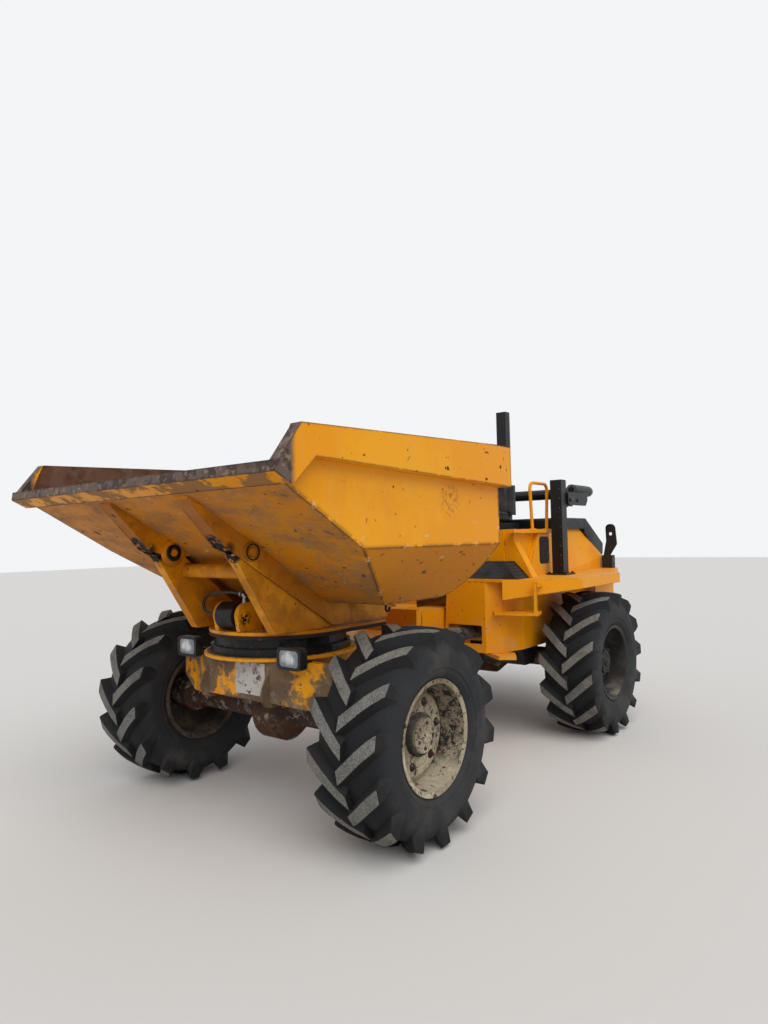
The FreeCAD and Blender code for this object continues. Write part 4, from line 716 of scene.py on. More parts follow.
# %% [markdown]
# A tractor tyre is a smooth carcass with heavy lugs. Each lug starts with a nose just past the
# middle, runs out at a slant and folds over the shoulder onto the sidewall. The carcass is a
# turned section. One lug is a strip of cross-sections laid along the carcass, and Geometry Nodes
# then repeat it round the axle, 14 on each side with half a pitch between the sides.

# %% Tyre carcass
SIDEWALL = (
    # across, radius: from the bead outwards, with two raised rings, to the crown
    (0.1630, 0.262), (0.1655, 0.279), (0.1790, 0.292), (0.1838, 0.303), (0.1868, 0.305),
    (0.1874, 0.310), (0.1866, 0.314), (0.1905, 0.328), (0.1938, 0.331), (0.1944, 0.337),
    (0.1938, 0.341), (0.1985, 0.370), (0.1960, 0.405), (0.1820, 0.440), (0.1500, 0.466),
    (0.0800, 0.4785),
)
CARCASS = SIDEWALL + ((0.0, 0.482),) + tuple((-x, r) for x, r in reversed(SIDEWALL)) + (
    (-0.1000, 0.2585), (0.1000, 0.2585))
print("carcass points", len(CARCASS))

# %% One lug
LUG_PATH = (
    # across, radius of the top, radius of the foot, along the tread, width of the top, foot inwards
    (-0.016, 0.5185, 0.478, 0.000, 0.068, 0.0),
    (0.040, 0.5195, 0.478, 0.048, 0.070, 0.0),
    (0.100, 0.5185, 0.474, 0.104, 0.072, 0.0),
    (0.150, 0.5150, 0.462, 0.148, 0.073, -0.006),
    (0.184, 0.5095, 0.446, 0.176, 0.073, -0.020),
    (0.1990, 0.5040, 0.434, 0.186, 0.071, -0.028),
    (0.2020, 0.4970, 0.424, 0.188, 0.069, -0.030),
    (0.2020, 0.4560, 0.404, 0.194, 0.060, -0.022),
    (0.1990, 0.4100, 0.386, 0.199, 0.044, -0.016),
    (0.1955, 0.3840, 0.378, 0.202, 0.026, -0.010),
)
FOOT_SPREAD = 1.85


def lug_strip():
    points = []
    faces = []
    for across, top, foot, along, width, inward in LUG_PATH:
        for height, spread, side_in in ((foot, FOOT_SPREAD, inward), (top, 1.0, 0.0),
                                        (top, -1.0, 0.0), (foot, -FOOT_SPREAD, inward)):
            turn = (along + spread * width / 2) / TYRE_RADIUS
            points.append((across + side_in, -height * math.cos(turn), height * math.sin(turn)))
    last = 4 * (len(LUG_PATH) - 1)
    for start in range(0, last, 4):
        faces += band(start, start + 4, 4)
    faces += [(0, 1, 2, 3), (last + 3, last + 2, last + 1, last)]
    return make_piece("lug", points, faces, RUBBER, False)


print("lug sections", len(LUG_PATH))

# %% Repeat it round the axle or in a row
def repeat_tree(name, extra, kind, place_copies):
    # A node tree that puts copies of a piece on the points of a line. What is special to one way of
    # repeating comes from place_copies as more links.
    tree = bpy.data.node_groups.new(name, "GeometryNodeTree")
    for socket, side, what in (
        ("Geometry", "INPUT", "Geometry"), ("Piece", "INPUT", "Object"), ("Count", "INPUT", "Int"),
        (extra, "INPUT", kind), ("Finish", "INPUT", "Material"), ("Geometry", "OUTPUT", "Geometry"),
    ):
        tree.interface.new_socket(socket, in_out=side, socket_type="NodeSocket" + what)
    add = tree.nodes.new
    given, line, info, place, realize, finish, result = (add(node) for node in (
        "NodeGroupInput", "GeometryNodeMeshLine", "GeometryNodeObjectInfo", "GeometryNodeInstanceOnPoints",
        "GeometryNodeRealizeInstances", "GeometryNodeSetMaterial", "NodeGroupOutput"))
    info.transform_space = "ORIGINAL"
    links = [
        (given.outputs["Piece"], info.inputs["Object"]), (given.outputs["Count"], line.inputs["Count"]),
        (line.outputs[0], place.inputs["Points"]), (info.outputs["Geometry"], place.inputs["Instance"]),
        (place.outputs[0], realize.inputs[0]), (realize.outputs[0], finish.inputs["Geometry"]),
        (given.outputs["Finish"], finish.inputs["Material"]), (finish.outputs[0], result.inputs[0]),
    ]
    for start, end in links + place_copies(add, given, line, place):
        tree.links.new(start, end)
    return tree


def turned_copies(add, given, line, place):
    # Copy k of n is turned about X by the first turn and k / n of a full turn.
    line.inputs["Offset"].default_value = (0, 0, 0)
    index = add("GeometryNodeInputIndex")
    share = add("ShaderNodeMath")
    share.operation = "DIVIDE"
    turn = add("ShaderNodeMath")
    turn.operation = "MULTIPLY_ADD"
    turn.inputs[1].default_value = 2 * math.pi
    angles = add("ShaderNodeCombineXYZ")
    return [(index.outputs[0], share.inputs[0]), (given.outputs["Count"], share.inputs[1]),
            (share.outputs[0], turn.inputs[0]), (given.outputs["First turn"], turn.inputs[2]),
            (turn.outputs[0], angles.inputs["X"]), (angles.outputs[0], place.inputs["Rotation"])]


def stepped_copies(add, given, line, place):
    return [(given.outputs["Step"], line.inputs["Offset"])]


AROUND = repeat_tree("round the axle", "First turn", "Float", turned_copies)
ROW = repeat_tree("in a row", "Step", "Vector", stepped_copies)


def repeated(name, seed_piece, tree, values):
    # Runs a node tree on an empty carrier and returns the result as a plain mesh.
    carrier = new_object(name, bpy.data.meshes.new(name))
    modifier = carrier.modifiers.new("repeat", "NODES")
    modifier.node_group = tree
    sockets = {item.name: item.identifier for item in tree.interface.items_tree
               if item.in_out == "INPUT"}
    modifier[sockets["Piece"]] = seed_piece
    for key, value in values.items():
        modifier[sockets[key]] = value
    mesh = final_mesh(carrier)
    bpy.data.objects.remove(carrier)
    bpy.data.objects.remove(seed_piece)
    return new_object(name, mesh)


def ring_of(name, seed_piece, count, first_turn, material):
    return repeated(name, seed_piece, AROUND, {"Count": count, "First turn": first_turn, "Finish": material})


def row_of(name, seed_piece, count, step, material):
    return repeated(name, seed_piece, ROW, {"Count": count, "Step": step, "Finish": material})


print("trees", AROUND.name, "and", ROW.name)

# %% [markdown]
# The finished tyre is the carcass and both rings of lugs in one mesh. An attribute named tread is 1
# on the lug tops, for the rubber's scuffed coat, and one named void darkens the tread's depth as painted
# shade.

# %% The tyre
LUGS_A_SIDE = 14
TREAD_HEIGHT = 0.498
VOID_FOOT, VOID_DEPTH = 0.415, 0.04


def tyre_mesh():
    pitch = 2 * math.pi / LUGS_A_SIDE
    pieces = [turned("carcass", CARCASS, RUBBER, 112)]
    for side, first_turn in ((1, 0.0), (-1, pitch / 2)):
        lug = lug_strip()
        if side < 0:
            moved(lug, Matrix.Diagonal((-1, 1, 1, 1)))
        bevel = lug.modifiers.new("soft edges", "BEVEL")
        bevel.width = 0.0025
        bevel.segments = 2
        bevel.limit_method = "ANGLE"
        bpy.context.view_layer.objects.active = lug
        bpy.ops.object.modifier_apply(modifier="soft edges")
        pieces.append(ring_of("lugs", lug, LUGS_A_SIDE, first_turn, RUBBER))
    tyre = gathered("tyre", pieces)
    shade_by_angle(tyre, 32)
    tread = tyre.data.attributes.new("tread", "FLOAT", "FACE")
    for index, polygon in enumerate(tyre.data.polygons):
        centre = polygon.center
        radius = math.hypot(centre.y, centre.z)
        outward = (polygon.normal.y * centre.y + polygon.normal.z * centre.z) / radius
        tread.data[index].value = float(outward > 0.9 and radius > TREAD_HEIGHT)
    # void: how deep a point lies in the tread, for the painted shade
    void = tyre.data.attributes.new("void", "FLOAT", "POINT")
    for index, vertex in enumerate(tyre.data.vertices):
        depth = (math.hypot(vertex.co.y, vertex.co.z) - VOID_FOOT) / VOID_DEPTH
        void.data[index].value = min(max(depth, 0.0), 1.0)
    return tyre


tyre_pattern = tyre_mesh()
print("tyre triangles", sum(len(p.vertices) - 2 for p in tyre_pattern.data.polygons))

# %% [markdown]
# The wheel is a dished disc in a flanged rim, with the planet hub standing out through it. Bolts
# hold the disc to the hub and the cover to the hub's end. The section is turned smooth here, in
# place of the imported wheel's flat sides.

# %% The wheel
WHEEL_SECTION = (
    # across, radius: outward along the seat, back inward along the dish
    (-0.174, 0.2735), (-0.170, 0.2755), (-0.165, 0.2735), (-0.162, 0.258), (-0.140, 0.257),
    (-0.060, 0.249), (0.060, 0.249), (0.140, 0.257), (0.162, 0.258), (0.165, 0.2735), (0.170, 0.2755),
    (0.174, 0.2735), (0.174, 0.266), (0.166, 0.2505), (0.140, 0.248), (0.064, 0.239), (0.030, 0.236),
    (0.052, 0.205), (0.062, 0.190), (0.062, 0.100), (0.048, 0.100), (0.048, 0.186), (0.036, 0.198),
    (0.010, 0.232), (-0.060, 0.240), (-0.166, 0.2480), (-0.174, 0.266),
)
FACES_INWARD = -0.05
BARREL_RADII = (0.200, 0.2515)
HUB_SECTION = ((0.020, 0.0005), (0.020, 0.106), (0.080, 0.104), (0.090, 0.098), (0.090, 0.0005))
HUB_CAP = (
    (0.089, 0.0005), (0.089, 0.086), (0.103, 0.085), (0.108, 0.080), (0.108, 0.040), (0.114, 0.036),
    (0.120, 0.030), (0.121, 0.026), (0.121, 0.014), (0.126, 0.011), (0.127, 0.0005),
)


def bolt(reach, radius, at_radius, across, material):
    # A hexagon head on a round washer, pointing outward along X at one place of its circle.
    points = []
    rings = ((0.0, 1.35, 12), (0.2, 1.35, 12), (0.2, 1.0, 6), (0.9, 1.0, 6), (1.0, 0.86, 6))
    for place, size, sides in rings:
        turns = [2 * math.pi * k / sides for k in range(sides)]
        points += [(across + reach * place, at_radius + radius * size * math.cos(turn),
                    radius * size * math.sin(turn)) for turn in turns]
    faces = band(0, 12, 12) + band(24, 30, 6) + band(30, 36, 6)
    faces += [tuple(range(*ends)) for ends in ((0, 12), (12, 24), (24, 30), (36, 42))]
    return make_piece("bolt", points, faces, material, False)


def recess():
    # A dark disc round each wheel nut, as painted shade of the hollow that the nut sits in.
    section = ((0.0600, 0.0005), (0.0635, 0.0005), (0.0635, 0.019), (0.0620, 0.022), (0.0600, 0.022))
    return moved(turned("recess", section, GREASY_STEEL, 16), Matrix.Translation((0, 0.155, 0)))


def wheel_mesh(paint, barrel, hub, bolts):
    wheel = turned("wheel", WHEEL_SECTION, paint, 96)
    wheel.data.materials.append(barrel)
    wheel.data.materials.append(INNER_RIM)
    for polygon in wheel.data.polygons:
        radius = math.hypot(polygon.center.y, polygon.center.z)
        if polygon.normal.x < FACES_INWARD:
            polygon.material_index = 2
        elif BARREL_RADII[0] < radius < BARREL_RADII[1]:
            polygon.material_index = 1
    pieces = [
        wheel,
        turned("hub", HUB_SECTION, hub, 64),
        turned("hub cap", HUB_CAP, paint, 64),
        # painted shade: dark discs round the wheel nuts
        ring_of("recesses", recess(), 6, 0.0, GREASY_STEEL),
        ring_of("disc bolts", bolt(0.018, 0.010, 0.155, 0.063, bolts), 6, 0.0, bolts),
        ring_of("cover bolts", bolt(0.009, 0.007, 0.060, 0.107, bolts), 6, 0.2, bolts),
    ]
    return shade_by_angle(gathered("wheel", pieces), 40)


cream_wheel = wheel_mesh(CREAM_PAINT, BARREL_PAINT, CHASSIS_BLACK, MUDDY_IRON)
black_wheel = wheel_mesh(BLACK_PAINT, CHASSIS_BLACK, CHASSIS_BLACK, MUDDY_IRON)
print("wheel triangles", sum(len(p.vertices) - 2 for p in cream_wheel.data.polygons))


# %% Put wheels and tyres on their hubs
def copied(piece, name):
    return new_object(name, piece.data.copy())


WHEEL_TURN = {"front_left": 0.17, "front_right": 0.61, "rear_left": 0.43, "rear_right": 0.05}
for end, y in (("front", -WHEEL_BASE / 2), ("rear", WHEEL_BASE / 2)):
    for side, sign in (("left", 1), ("right", -1)):
        corner = f"{end}_{side}"
        place = Matrix.Translation(spot(sign * TRACK, y, AXLE_HEIGHT)) @ Matrix.Diagonal((sign, 1, 1, 1))
        place = place @ Matrix.Rotation(WHEEL_TURN[corner], 4, "X")
        wheel = cream_wheel if end == "front" else black_wheel
        for pattern, kind, slot in ((tyre_pattern, "tyre", "tyre"),
                                    (wheel, "rim", "cream_paint" if end == "front" else "black_paint")):
            piece = moved(copied(pattern, f"worn_{kind}_{corner}"), place)
            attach(piece, f"wheel_{corner}")
            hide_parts(f"{kind}_{corner}")
for pattern in (tyre_pattern, cream_wheel, black_wheel):
    bpy.data.objects.remove(pattern)
print("wheels on", len(WHEEL_TURN))

# %% [markdown]
# The seat is foam under vinyl. Each pad starts as a plain rounded block a little smaller than its
# place, is remeshed fine and then blown up by Blender's cloth solver, so that it crowns and its
# sides pull in between the corners. How far a point may move is capped, and it ends as a mesh.

# %% Seat pads
def pad_block(name, node, shrink):
    low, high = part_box(node)
    middle = (low + high) / 2
    half = (high - low) / 2 - Vector((shrink, shrink, shrink))
    bm = bmesh.new()
    bmesh.ops.create_cube(bm, size=2)
    bmesh.ops.bevel(bm, geom=bm.edges[:], offset=0.3, segments=3, affect="EDGES")
    for vertex in bm.verts:
        vertex.co = middle + Vector(tuple(vertex.co[k] * half[k] for k in range(3)))
    mesh = bpy.data.meshes.new(name)
    bm.to_mesh(mesh)
    bm.free()
    mesh.materials.append(VINYL)
    return new_object(name, mesh)


PAD_SHRINK = 0.010
PAD_CAP = 0.012
CLOTH_FRAMES = 20


def blown_up(pad, cap):
    # Pressure swells the skin; each point may then move at most cap metres.
    bpy.context.view_layer.objects.active = pad
    remesh = pad.modifiers.new("fine skin", "REMESH")
    remesh.mode = "VOXEL"
    remesh.voxel_size = 0.006
    bpy.ops.object.modifier_apply(modifier="fine skin")
    start = [vertex.co.copy() for vertex in pad.data.vertices]
    cloth = pad.modifiers.new("cloth", "CLOTH")
    cloth.settings.use_pressure = True
    cloth.settings.uniform_pressure_force = 4.0
    cloth.settings.effector_weights.gravity = 0.0
    scene = bpy.context.scene
    for number in range(1, CLOTH_FRAMES + 1):
        scene.frame_set(number)
    bpy.context.view_layer.update()
    evaluated = pad.evaluated_get(bpy.context.evaluated_depsgraph_get())
    for index, vertex in enumerate(evaluated.data.vertices):
        move = vertex.co - start[index]
        if move.length > cap:
            move *= cap / move.length
        pad.data.vertices[index].co = start[index] + move
    pad.modifiers.clear()
    scene.frame_set(1)
    for polygon in pad.data.polygons:
        polygon.use_smooth = True
    return pad


seat_pad = blown_up(pad_block("seat_pad", "seat_cushion", PAD_SHRINK), PAD_CAP)
back_pad = blown_up(pad_block("back_pad", "seat_back", PAD_SHRINK), PAD_CAP)
print("pads", len(seat_pad.data.vertices), len(back_pad.data.vertices))

# %% Set the pads on the seat
def fitted(pad, node):
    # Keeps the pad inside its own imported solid's box, and flat where it rests.
    low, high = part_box(node)
    for vertex in pad.data.vertices:
        vertex.co = Vector(tuple(min(max(vertex.co[k], low[k]), high[k]) for k in range(3)))
    return pad


for pad, node in ((seat_pad, "seat_cushion"), (back_pad, "seat_back")):
    fitted(pad, node)
    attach(pad, "rear_chassis")
    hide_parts(node)
print("seat ready")

# %% [markdown]
# A maker adds the small parts last: plates, brackets, bolts, louvres, fittings. Helpers make them. A
# plate is an outline carried along one axis. A bent rod is a smooth line with thickness. A part made
# along X is aimed where it belongs. What stands in a row is repeated by the second tree.

# %% Small part helpers
def prism(name, outline, axis, low, high, material):
    along = "xyz".index(axis)
    first, second = [k for k in range(3) if k != along]
    points = []
    for level in (low, high):
        for a, b in outline:
            place = [level, level, level]
            place[first], place[second] = a, b
            points.append(spot(*place))
    count = len(outline)
    faces = [tuple(range(count)), tuple(range(count, 2 * count))] + band(0, count, count)
    return make_piece(name, points, faces, material, False)


def rounded(centre, half, radius, steps=5):
    # The outline of a rectangle with round corners.
    points = []
    for turn, (sx, sz) in enumerate(((1, 1), (-1, 1), (-1, -1), (1, -1))):
        for step in range(steps + 1):
            angle = math.pi / 2 * (turn + step / steps)
            points.append((centre[0] + sx * (half[0] - radius) + radius * math.cos(angle),
                           centre[1] + sz * (half[1] - radius) + radius * math.sin(angle)))
    return points


def smooth_line(name, points, radius, material, closed=False):
    line = bpy.data.curves.new(name, "CURVE")
    line.dimensions = "3D"
    line.bevel_depth = radius
    line.bevel_resolution = 3
    line.use_fill_caps = True
    line.materials.append(material)
    spline = line.splines.new("NURBS")
    spline.points.add(len(points) - 1)
    for point, place in zip(spline.points, points):
        point.co = (*spot(*place), 1.0)
    spline.order_u = 3
    spline.use_endpoint_u = not closed
    spline.use_cyclic_u = closed
    spline.resolution_u = 8
    return new_object(name, line)


def bent_rod(name, points, radius, material, closed=False):
    line = smooth_line(name, points, radius, material, closed)
    mesh = final_mesh(line)
    bpy.data.objects.remove(line)
    for polygon in mesh.polygons:
        polygon.use_smooth = True
    return new_object(name, mesh)


def aimed(piece, place, direction):
    turn = Vector(direction).to_track_quat("X", "Z").to_matrix().to_4x4()
    return moved(piece, Matrix.Translation(spot(*place)) @ turn)


def lone_bolt(reach, radius, material, place, direction):
    return aimed(bolt(reach, radius, 0.0, 0.0, material), place, direction)


def rectangle(across, up):
    return [(across[0], up[0]), (across[1], up[0]), (across[1], up[1]), (across[0], up[1])]


def both_sides(pieces):
    # Adds the mirror image of each piece on the other side of the machine.
    return pieces + [moved(copied(piece, piece.name), Matrix.Diagonal((-1, 1, 1, 1))) for piece in pieces]


def fitted_on(name, body, pieces):
    # Joins small pieces and sets them on their body.
    piece = shade_by_angle(gathered(name, pieces), 35)
    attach(piece, body)
    return piece


print("small part helpers ready")

# %% [markdown]
# The nose carries two cheek plates that stand forward of it, a ring plate under the slew ring and
# a square of worn white paint that stays bare. Each headlamp gets a black bezel and a crowned lens.

# %% Nose and headlamps
CHEEK = (
    # y, z: the side of a cheek plate
    (-1.400, 0.852), (-1.470, 0.856), (-1.486, 0.842), (-1.548, 0.722), (-1.556, 0.690), (-1.550, 0.656),
    (-1.532, 0.632), (-1.505, 0.618), (-1.450, 0.612), (-1.400, 0.640),
)
RING_PLATE = ((0.853, 0.350), (0.853, 0.425), (0.855, 0.428), (0.869, 0.428), (0.871, 0.425), (0.871, 0.350))
SLEW_CENTRE = (0.0, -WHEEL_BASE / 2, 0.0)
UPWARD = (0, 0, 1)
FORWARD = (0, -1, 0)
OUTWARD = (1, 0, 0)
ring_plate = aimed(turned("ring plate", RING_PLATE, ORANGE_PAINT, 128), SLEW_CENTRE, UPWARD)
cheeks = both_sides([prism("cheek", CHEEK, "x", 0.240, 0.252, MUDDY_ORANGE)])
lamp_feet = both_sides([
    prism("lamp foot", rectangle((0.395, 0.432), (-1.490, -1.378)), "z", 0.822, 0.828, CHASSIS_BLACK),
    prism("lamp tab", rectangle((0.400, 0.428), (0.770, 0.828)), "y", -1.388, -1.3795, MUDDY_IRON),
    lone_bolt(0.010, 0.008, MUDDY_IRON, (0.414, -1.388, 0.786), FORWARD),
    lone_bolt(0.008, 0.007, MUDDY_IRON, (0.412, -1.452, 0.828), UPWARD),
])
plate_bolt = bolt(0.009, 0.009, 0.0, 0.0, MUDDY_ORANGE)
plate_bolts = both_sides([aimed(row_of("plate bolts", plate_bolt, 3, (0.0, 0.0, 0.075), MUDDY_ORANGE),
                                (0.575, -1.380, 0.700), FORWARD)])
fitted_on("nose_plates", "front_chassis", [ring_plate] + cheeks + plate_bolts)
fitted_on("lamp_brackets", "front_chassis", lamp_feet)
white = prism("bare_nose_plate", rectangle((-0.006, 0.222), (0.672, 0.840)), "y", -1.5075, -1.5045,
              WORN_WHITE)
fitted_on("bare_nose_plate", "front_chassis", [white])


def crowned_lens(sign):
    # Rings of a rounded rectangle, each smaller and further forward than the one before.
    x, y, z = LAMP_CENTRE
    points = []
    rings = ((1.0, 0.0), (0.96, 0.45), (0.85, 0.72), (0.6, 0.92), (0.3, 1.0))
    for share, crown in rings:
        points += [spot(sign * x + a * share, y - 0.017 - 0.012 * crown, z + b * share)
                   for a, b in rounded((0, 0), LENS_HALF, LENS_ROUND)]
    size = len(points) // len(rings)
    faces = [face for r in range(len(rings) - 1) for face in band(r * size, (r + 1) * size, size)]
    faces += [tuple(range(size)), tuple(range((len(rings) - 1) * size, len(rings) * size))]
    return make_piece("lens", points, faces, GLASS)


def bezel():
    # Four rings of points: outside and inside at the back, then outside and inside at the front.
    x, y, z = LAMP_CENTRE
    outer = rounded((x, z), (0.0845, 0.0555), 0.026)
    inner = rounded((x, z), LENS_HALF, LENS_ROUND)
    size = len(outer)
    points = [spot(a, y - depth, b) for depth in (0.004, 0.024) for ring in (outer, inner) for a, b in ring]
    faces = [face for start, end in ((0, 2), (2, 3), (3, 1), (1, 0))
             for face in band(start * size, end * size, size)]
    return make_piece("bezel", points, faces, BLACK_PLASTIC, False)


lenses = fitted_on("lamp_lenses", "front_chassis", [crowned_lens(1), crowned_lens(-1)])
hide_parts("headlamp_lenses")
fitted_on("lamp_bezels", "front_chassis", both_sides([bezel()]))
print("nose", len(CHEEK), "points a cheek")

# %% [markdown]
# At the tip pins a boss plate stiffens each rib on its inner side. An open ring of grease-black
# steel shows there round the pin's painted head, and outside only a thin ring. A hook hangs under
# the front corner of the skip.

# %% Skip fittings
def pin_fittings():
    x, y, z = TIP_PIN
    inward = (-1, 0, 0)
    face = 0.266
    pin_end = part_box("tip_pins")[1].x
    boss = ((0.0, 0.001), (0.0, 0.070), (0.010, 0.069), (0.012, 0.066), (0.012, 0.001))
    ring = ((0.010, 0.026), (0.010, 0.045), (0.018, 0.045), (0.022, 0.041), (0.022, 0.026))
    head = ((0.010, 0.001), (0.010, 0.019), (0.022, 0.019), (0.025, 0.016), (0.025, 0.001))
    edge = ((-0.001, 0.035), (-0.001, 0.041), (0.003, 0.041), (0.003, 0.035))
    painted = [aimed(turned("boss", boss, RIB_PAINT, 48), (face, y, z), inward),
               aimed(turned("head", head, RIB_PAINT, 24), (face, y, z), inward)]
    black = [aimed(turned("ring", ring, GREASY_STEEL, 32), (face, y, z), inward),
             aimed(turned("edge", edge, GREASY_STEEL, 48), (pin_end, y, z), OUTWARD)]
    return both_sides(painted), both_sides(black)


painted, black = pin_fittings()
HOOK = ((0.600, -0.968, 1.140), (0.600, -0.968, 1.112), (0.600, -0.972, 1.086), (0.600, -0.955, 1.074),
        (0.600, -0.938, 1.082), (0.600, -0.936, 1.098))
black.append(bent_rod("hook", HOOK, 0.006, GREASY_STEEL))
fitted_on("skip_boss_plates", "skip", painted)
fitted_on("skip_pin_rings", "skip", black)
print("skip fittings", len(painted) + len(black))

# %% [markdown]
# One hydraulic hose loops from the fitting on the ram's lug over the drum and back in behind it.
# It is stiff, 16 mm thick and held at both ends, and it lies clear of the ram in its whole swing.

# %% Hose over the ram
HOSE = (
    (0.100, -1.520, 1.186), (0.040, -1.515, 1.200), (-0.060, -1.515, 1.202), (-0.180, -1.515, 1.192),
    (-0.262, -1.515, 1.160), (-0.262, -1.515, 1.098), (-0.190, -1.515, 1.080), (-0.104, -1.520, 1.082),
)
hose = smooth_line("ram_hose", HOSE, 0.008, BLACK_HOSE)
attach(hose, "swivel")
elbow = bent_rod("elbow", ((0.087, -1.520, 1.140), (0.088, -1.520, 1.176), (0.094, -1.520, 1.188),
                           (0.076, -1.519, 1.193)), 0.0105, BRIGHT_ROD)
nut = lone_bolt(0.022, 0.013, BRIGHT_ROD, (0.070, -1.5185, 1.1935), (-1, 0, 0.12))
end_nut = lone_bolt(0.022, 0.013, BRIGHT_ROD, (-0.102, -1.520, 1.082), (-1, 0, 0))
fittings = fitted_on("hose_fittings", "swivel", [elbow, nut, end_nut])

# %% [markdown]
# The hood's side opening is closed by black louvres behind its edge, on a black sheet that is painted
# shade of the opening's inside. The rear cap breathes through pressed louvres, and the roll-over gear
# carries bolts, plugs and a sight slot beside each hinge.

# %% Louvres, bolts and plugs of the rear half
# painted shade: a black sheet behind the slats for the opening's dark inside
vent_shade_sheet = prism("vent back", rounded((1.0290, 1.3585), (0.0840, 0.1035), 0.030), "x", 0.5860, 0.5912,
                  BLACK_RUBBER)
slat = prism("slat", ((0.5905, 1.2720), (0.5945, 1.2665), (0.5945, 1.2688), (0.5911, 1.2750)), "y",
             0.955, 1.103, BLACK_RUBBER)
slats = row_of("slats", slat, 11, (0.0, 0.0, 0.0165), BLACK_RUBBER)
fitted_on("vent_louvres", "rear_chassis", both_sides([vent_shade_sheet, slats]))

CAP_SLOPE = Vector((0, 0.390, -0.227)).normalized()
louvre = prism("louvre", ((1.998, 1.5710), (2.008, 1.5792), (2.014, 1.5690), (2.006, 1.5640)), "x",
               -0.150, 0.430, BLACK_PAINT)
louvres = row_of("louvres", louvre, 9, tuple(CAP_SLOPE * 0.034), BLACK_PAINT)
fitted_on("rear_louvres", "rear_chassis", [louvres])


POST = (0.705, 1.060)


def post_fittings():
    plugs = row_of("plugs", bolt(0.0025, 0.003, 0.0, 0.0, GREASY_GREY), 9, (0.0, 0.0, 0.072), GREASY_GREY)
    pieces = [aimed(plugs, (0.732, 1.0151, 1.245), FORWARD)]
    pieces.append(prism("post cap", rounded(POST, (0.046, 0.046), 0.006), "z", 1.8895, 1.8908,
                        BLACK_PAINT))
    for x, y in ((0.642, 0.997), (0.768, 0.997), (0.642, 1.132), (0.768, 1.132)):
        pieces.append(lone_bolt(0.011, 0.009, GREASY_STEEL, (x, y, 1.182), UPWARD))
    return both_sides(pieces)


fitted_on("post_fittings", "rear_chassis", post_fittings())
END_RING = ((-0.001, 0.026), (-0.001, 0.039), (0.001, 0.038), (0.001, 0.027))
hoop_parts = both_sides([
    aimed(turned("tube end", END_RING, BARE_IRON, 48), (POST[0], 1.3055, 1.826), FORWARD),
    prism("sight slot", rounded((1.192, 1.752), (0.0035, 0.012), 0.003), "x", 0.7655, 0.7675, BRIGHT_ROD),
    lone_bolt(0.008, 0.012, GREASY_STEEL, (0.7660, 1.280, 1.738), (1, 0, 0)),
])
fitted_on("hoop_fittings", "hoop", hoop_parts)
print("rear fittings", len(hoop_parts))

# %% [markdown]
# Handles have welded feet, steps have raised buttons against slipping, and the lamps behind have
# their lenses. The engine cover is held by rubber latches, and a seam crosses it in front of them.

# %% Feet, buttons, lenses and latches
feet = [prism("foot", rounded((0.581, y), (0.019, 0.026), 0.006), "z", 1.5195, 1.5245, ORANGE_PAINT)
        for y in (0.860, 1.100)]
corner_bolts = [lone_bolt(0.006, 0.010, GREASY_STEEL, place, (0.45, -0.89, 0))
                for place in ((0.5070, 0.3758, 1.100), (0.4920, 0.3682, 0.925))]
fitted_on("body_fittings", "rear_chassis", both_sides(feet + corner_bolts))
button = lone_bolt(0.0035, 0.009, ORANGE_PAINT, (0.630, 0.400, 0.9460), UPWARD)
buttons = row_of("buttons", button, 6, (0.028, 0.004, 0.0), ORANGE_PAINT)
fitted_on("step_buttons", "rear_chassis", both_sides([buttons]))
lens_parts = [
    prism("red", rounded((0.6545, 1.2070), (0.036, 0.026), 0.006), "y", 2.2295, 2.2370, RED_LENS),
    prism("amber", rounded((0.6545, 1.2560), (0.036, 0.018), 0.006), "y", 2.2295, 2.2370, AMBER_LENS),
    lone_bolt(0.004, 0.006, BARE_IRON, (0.7000, 2.195, 1.222), (1, 0, 0)),
]
fitted_on("rear_lenses", "rear_chassis", both_sides(lens_parts))

LID_EDGE = 0.5600
latch = prism("latch", rounded((1.500, 1.548), (0.016, 0.030), 0.008), "x", LID_EDGE, LID_EDGE + 0.007,
              BLACK_RUBBER)
fitted_on("lid_latches", "bonnet", both_sides([latch]))
seam = prism("seam", ((1.676, 1.6121), (1.681, 1.6121), (1.815, 1.5330), (1.810, 1.5330)), "x",
             LID_EDGE - 0.001, LID_EDGE + 0.0012, GREASY_STEEL)
top_seam = prism("top seam", rectangle((-LID_EDGE, LID_EDGE), (1.676, 1.681)), "z", 1.6115, 1.6130,
                 GREASY_STEEL)
fitted_on("lid_seam", "bonnet", both_sides([seam]) + [top_seam])
print("covers and lenses ready")

# %% [markdown]
# In the footwell are two pedals on the floor and a plain dash across the column, with two round
# dials that stay blank. Piping runs round the seat cushion where its covers are sewn together.

# %% Footwell, dash and piping
pedals = []
for side in (-0.150, 0.150):
    pedals.append(prism("pad", ((0.700, 1.268), (0.706, 1.262), (0.756, 1.342), (0.750, 1.348)), "x",
                        side - 0.036, side + 0.036, BLACK_RUBBER))
    pedals.append(bent_rod("stalk", ((side, 0.735, 1.305), (side, 0.700, 1.290), (side, 0.660, 1.250),
                                     (side, 0.640, 1.169)), 0.009, GREASY_STEEL))
DASH = ((0.6125, 1.380), (0.6125, 1.516), (0.650, 1.516), (0.705, 1.440), (0.705, 1.380))
dash = prism("dash", DASH, "x", -0.220, 0.220, BLACK_PLASTIC)
DIAL = ((0.0, 0.001), (0.0, 0.034), (0.007, 0.034), (0.009, 0.031), (0.006, 0.028), (0.006, 0.001))
dials = [aimed(turned("dial", DIAL, BLACK_PAINT, 32), (x, 0.6775, 1.478), (0, 0.81, 0.586))
         for x in (-0.120, 0.120)]
fitted_on("footwell_gear", "rear_chassis", pedals + [dash] + dials)


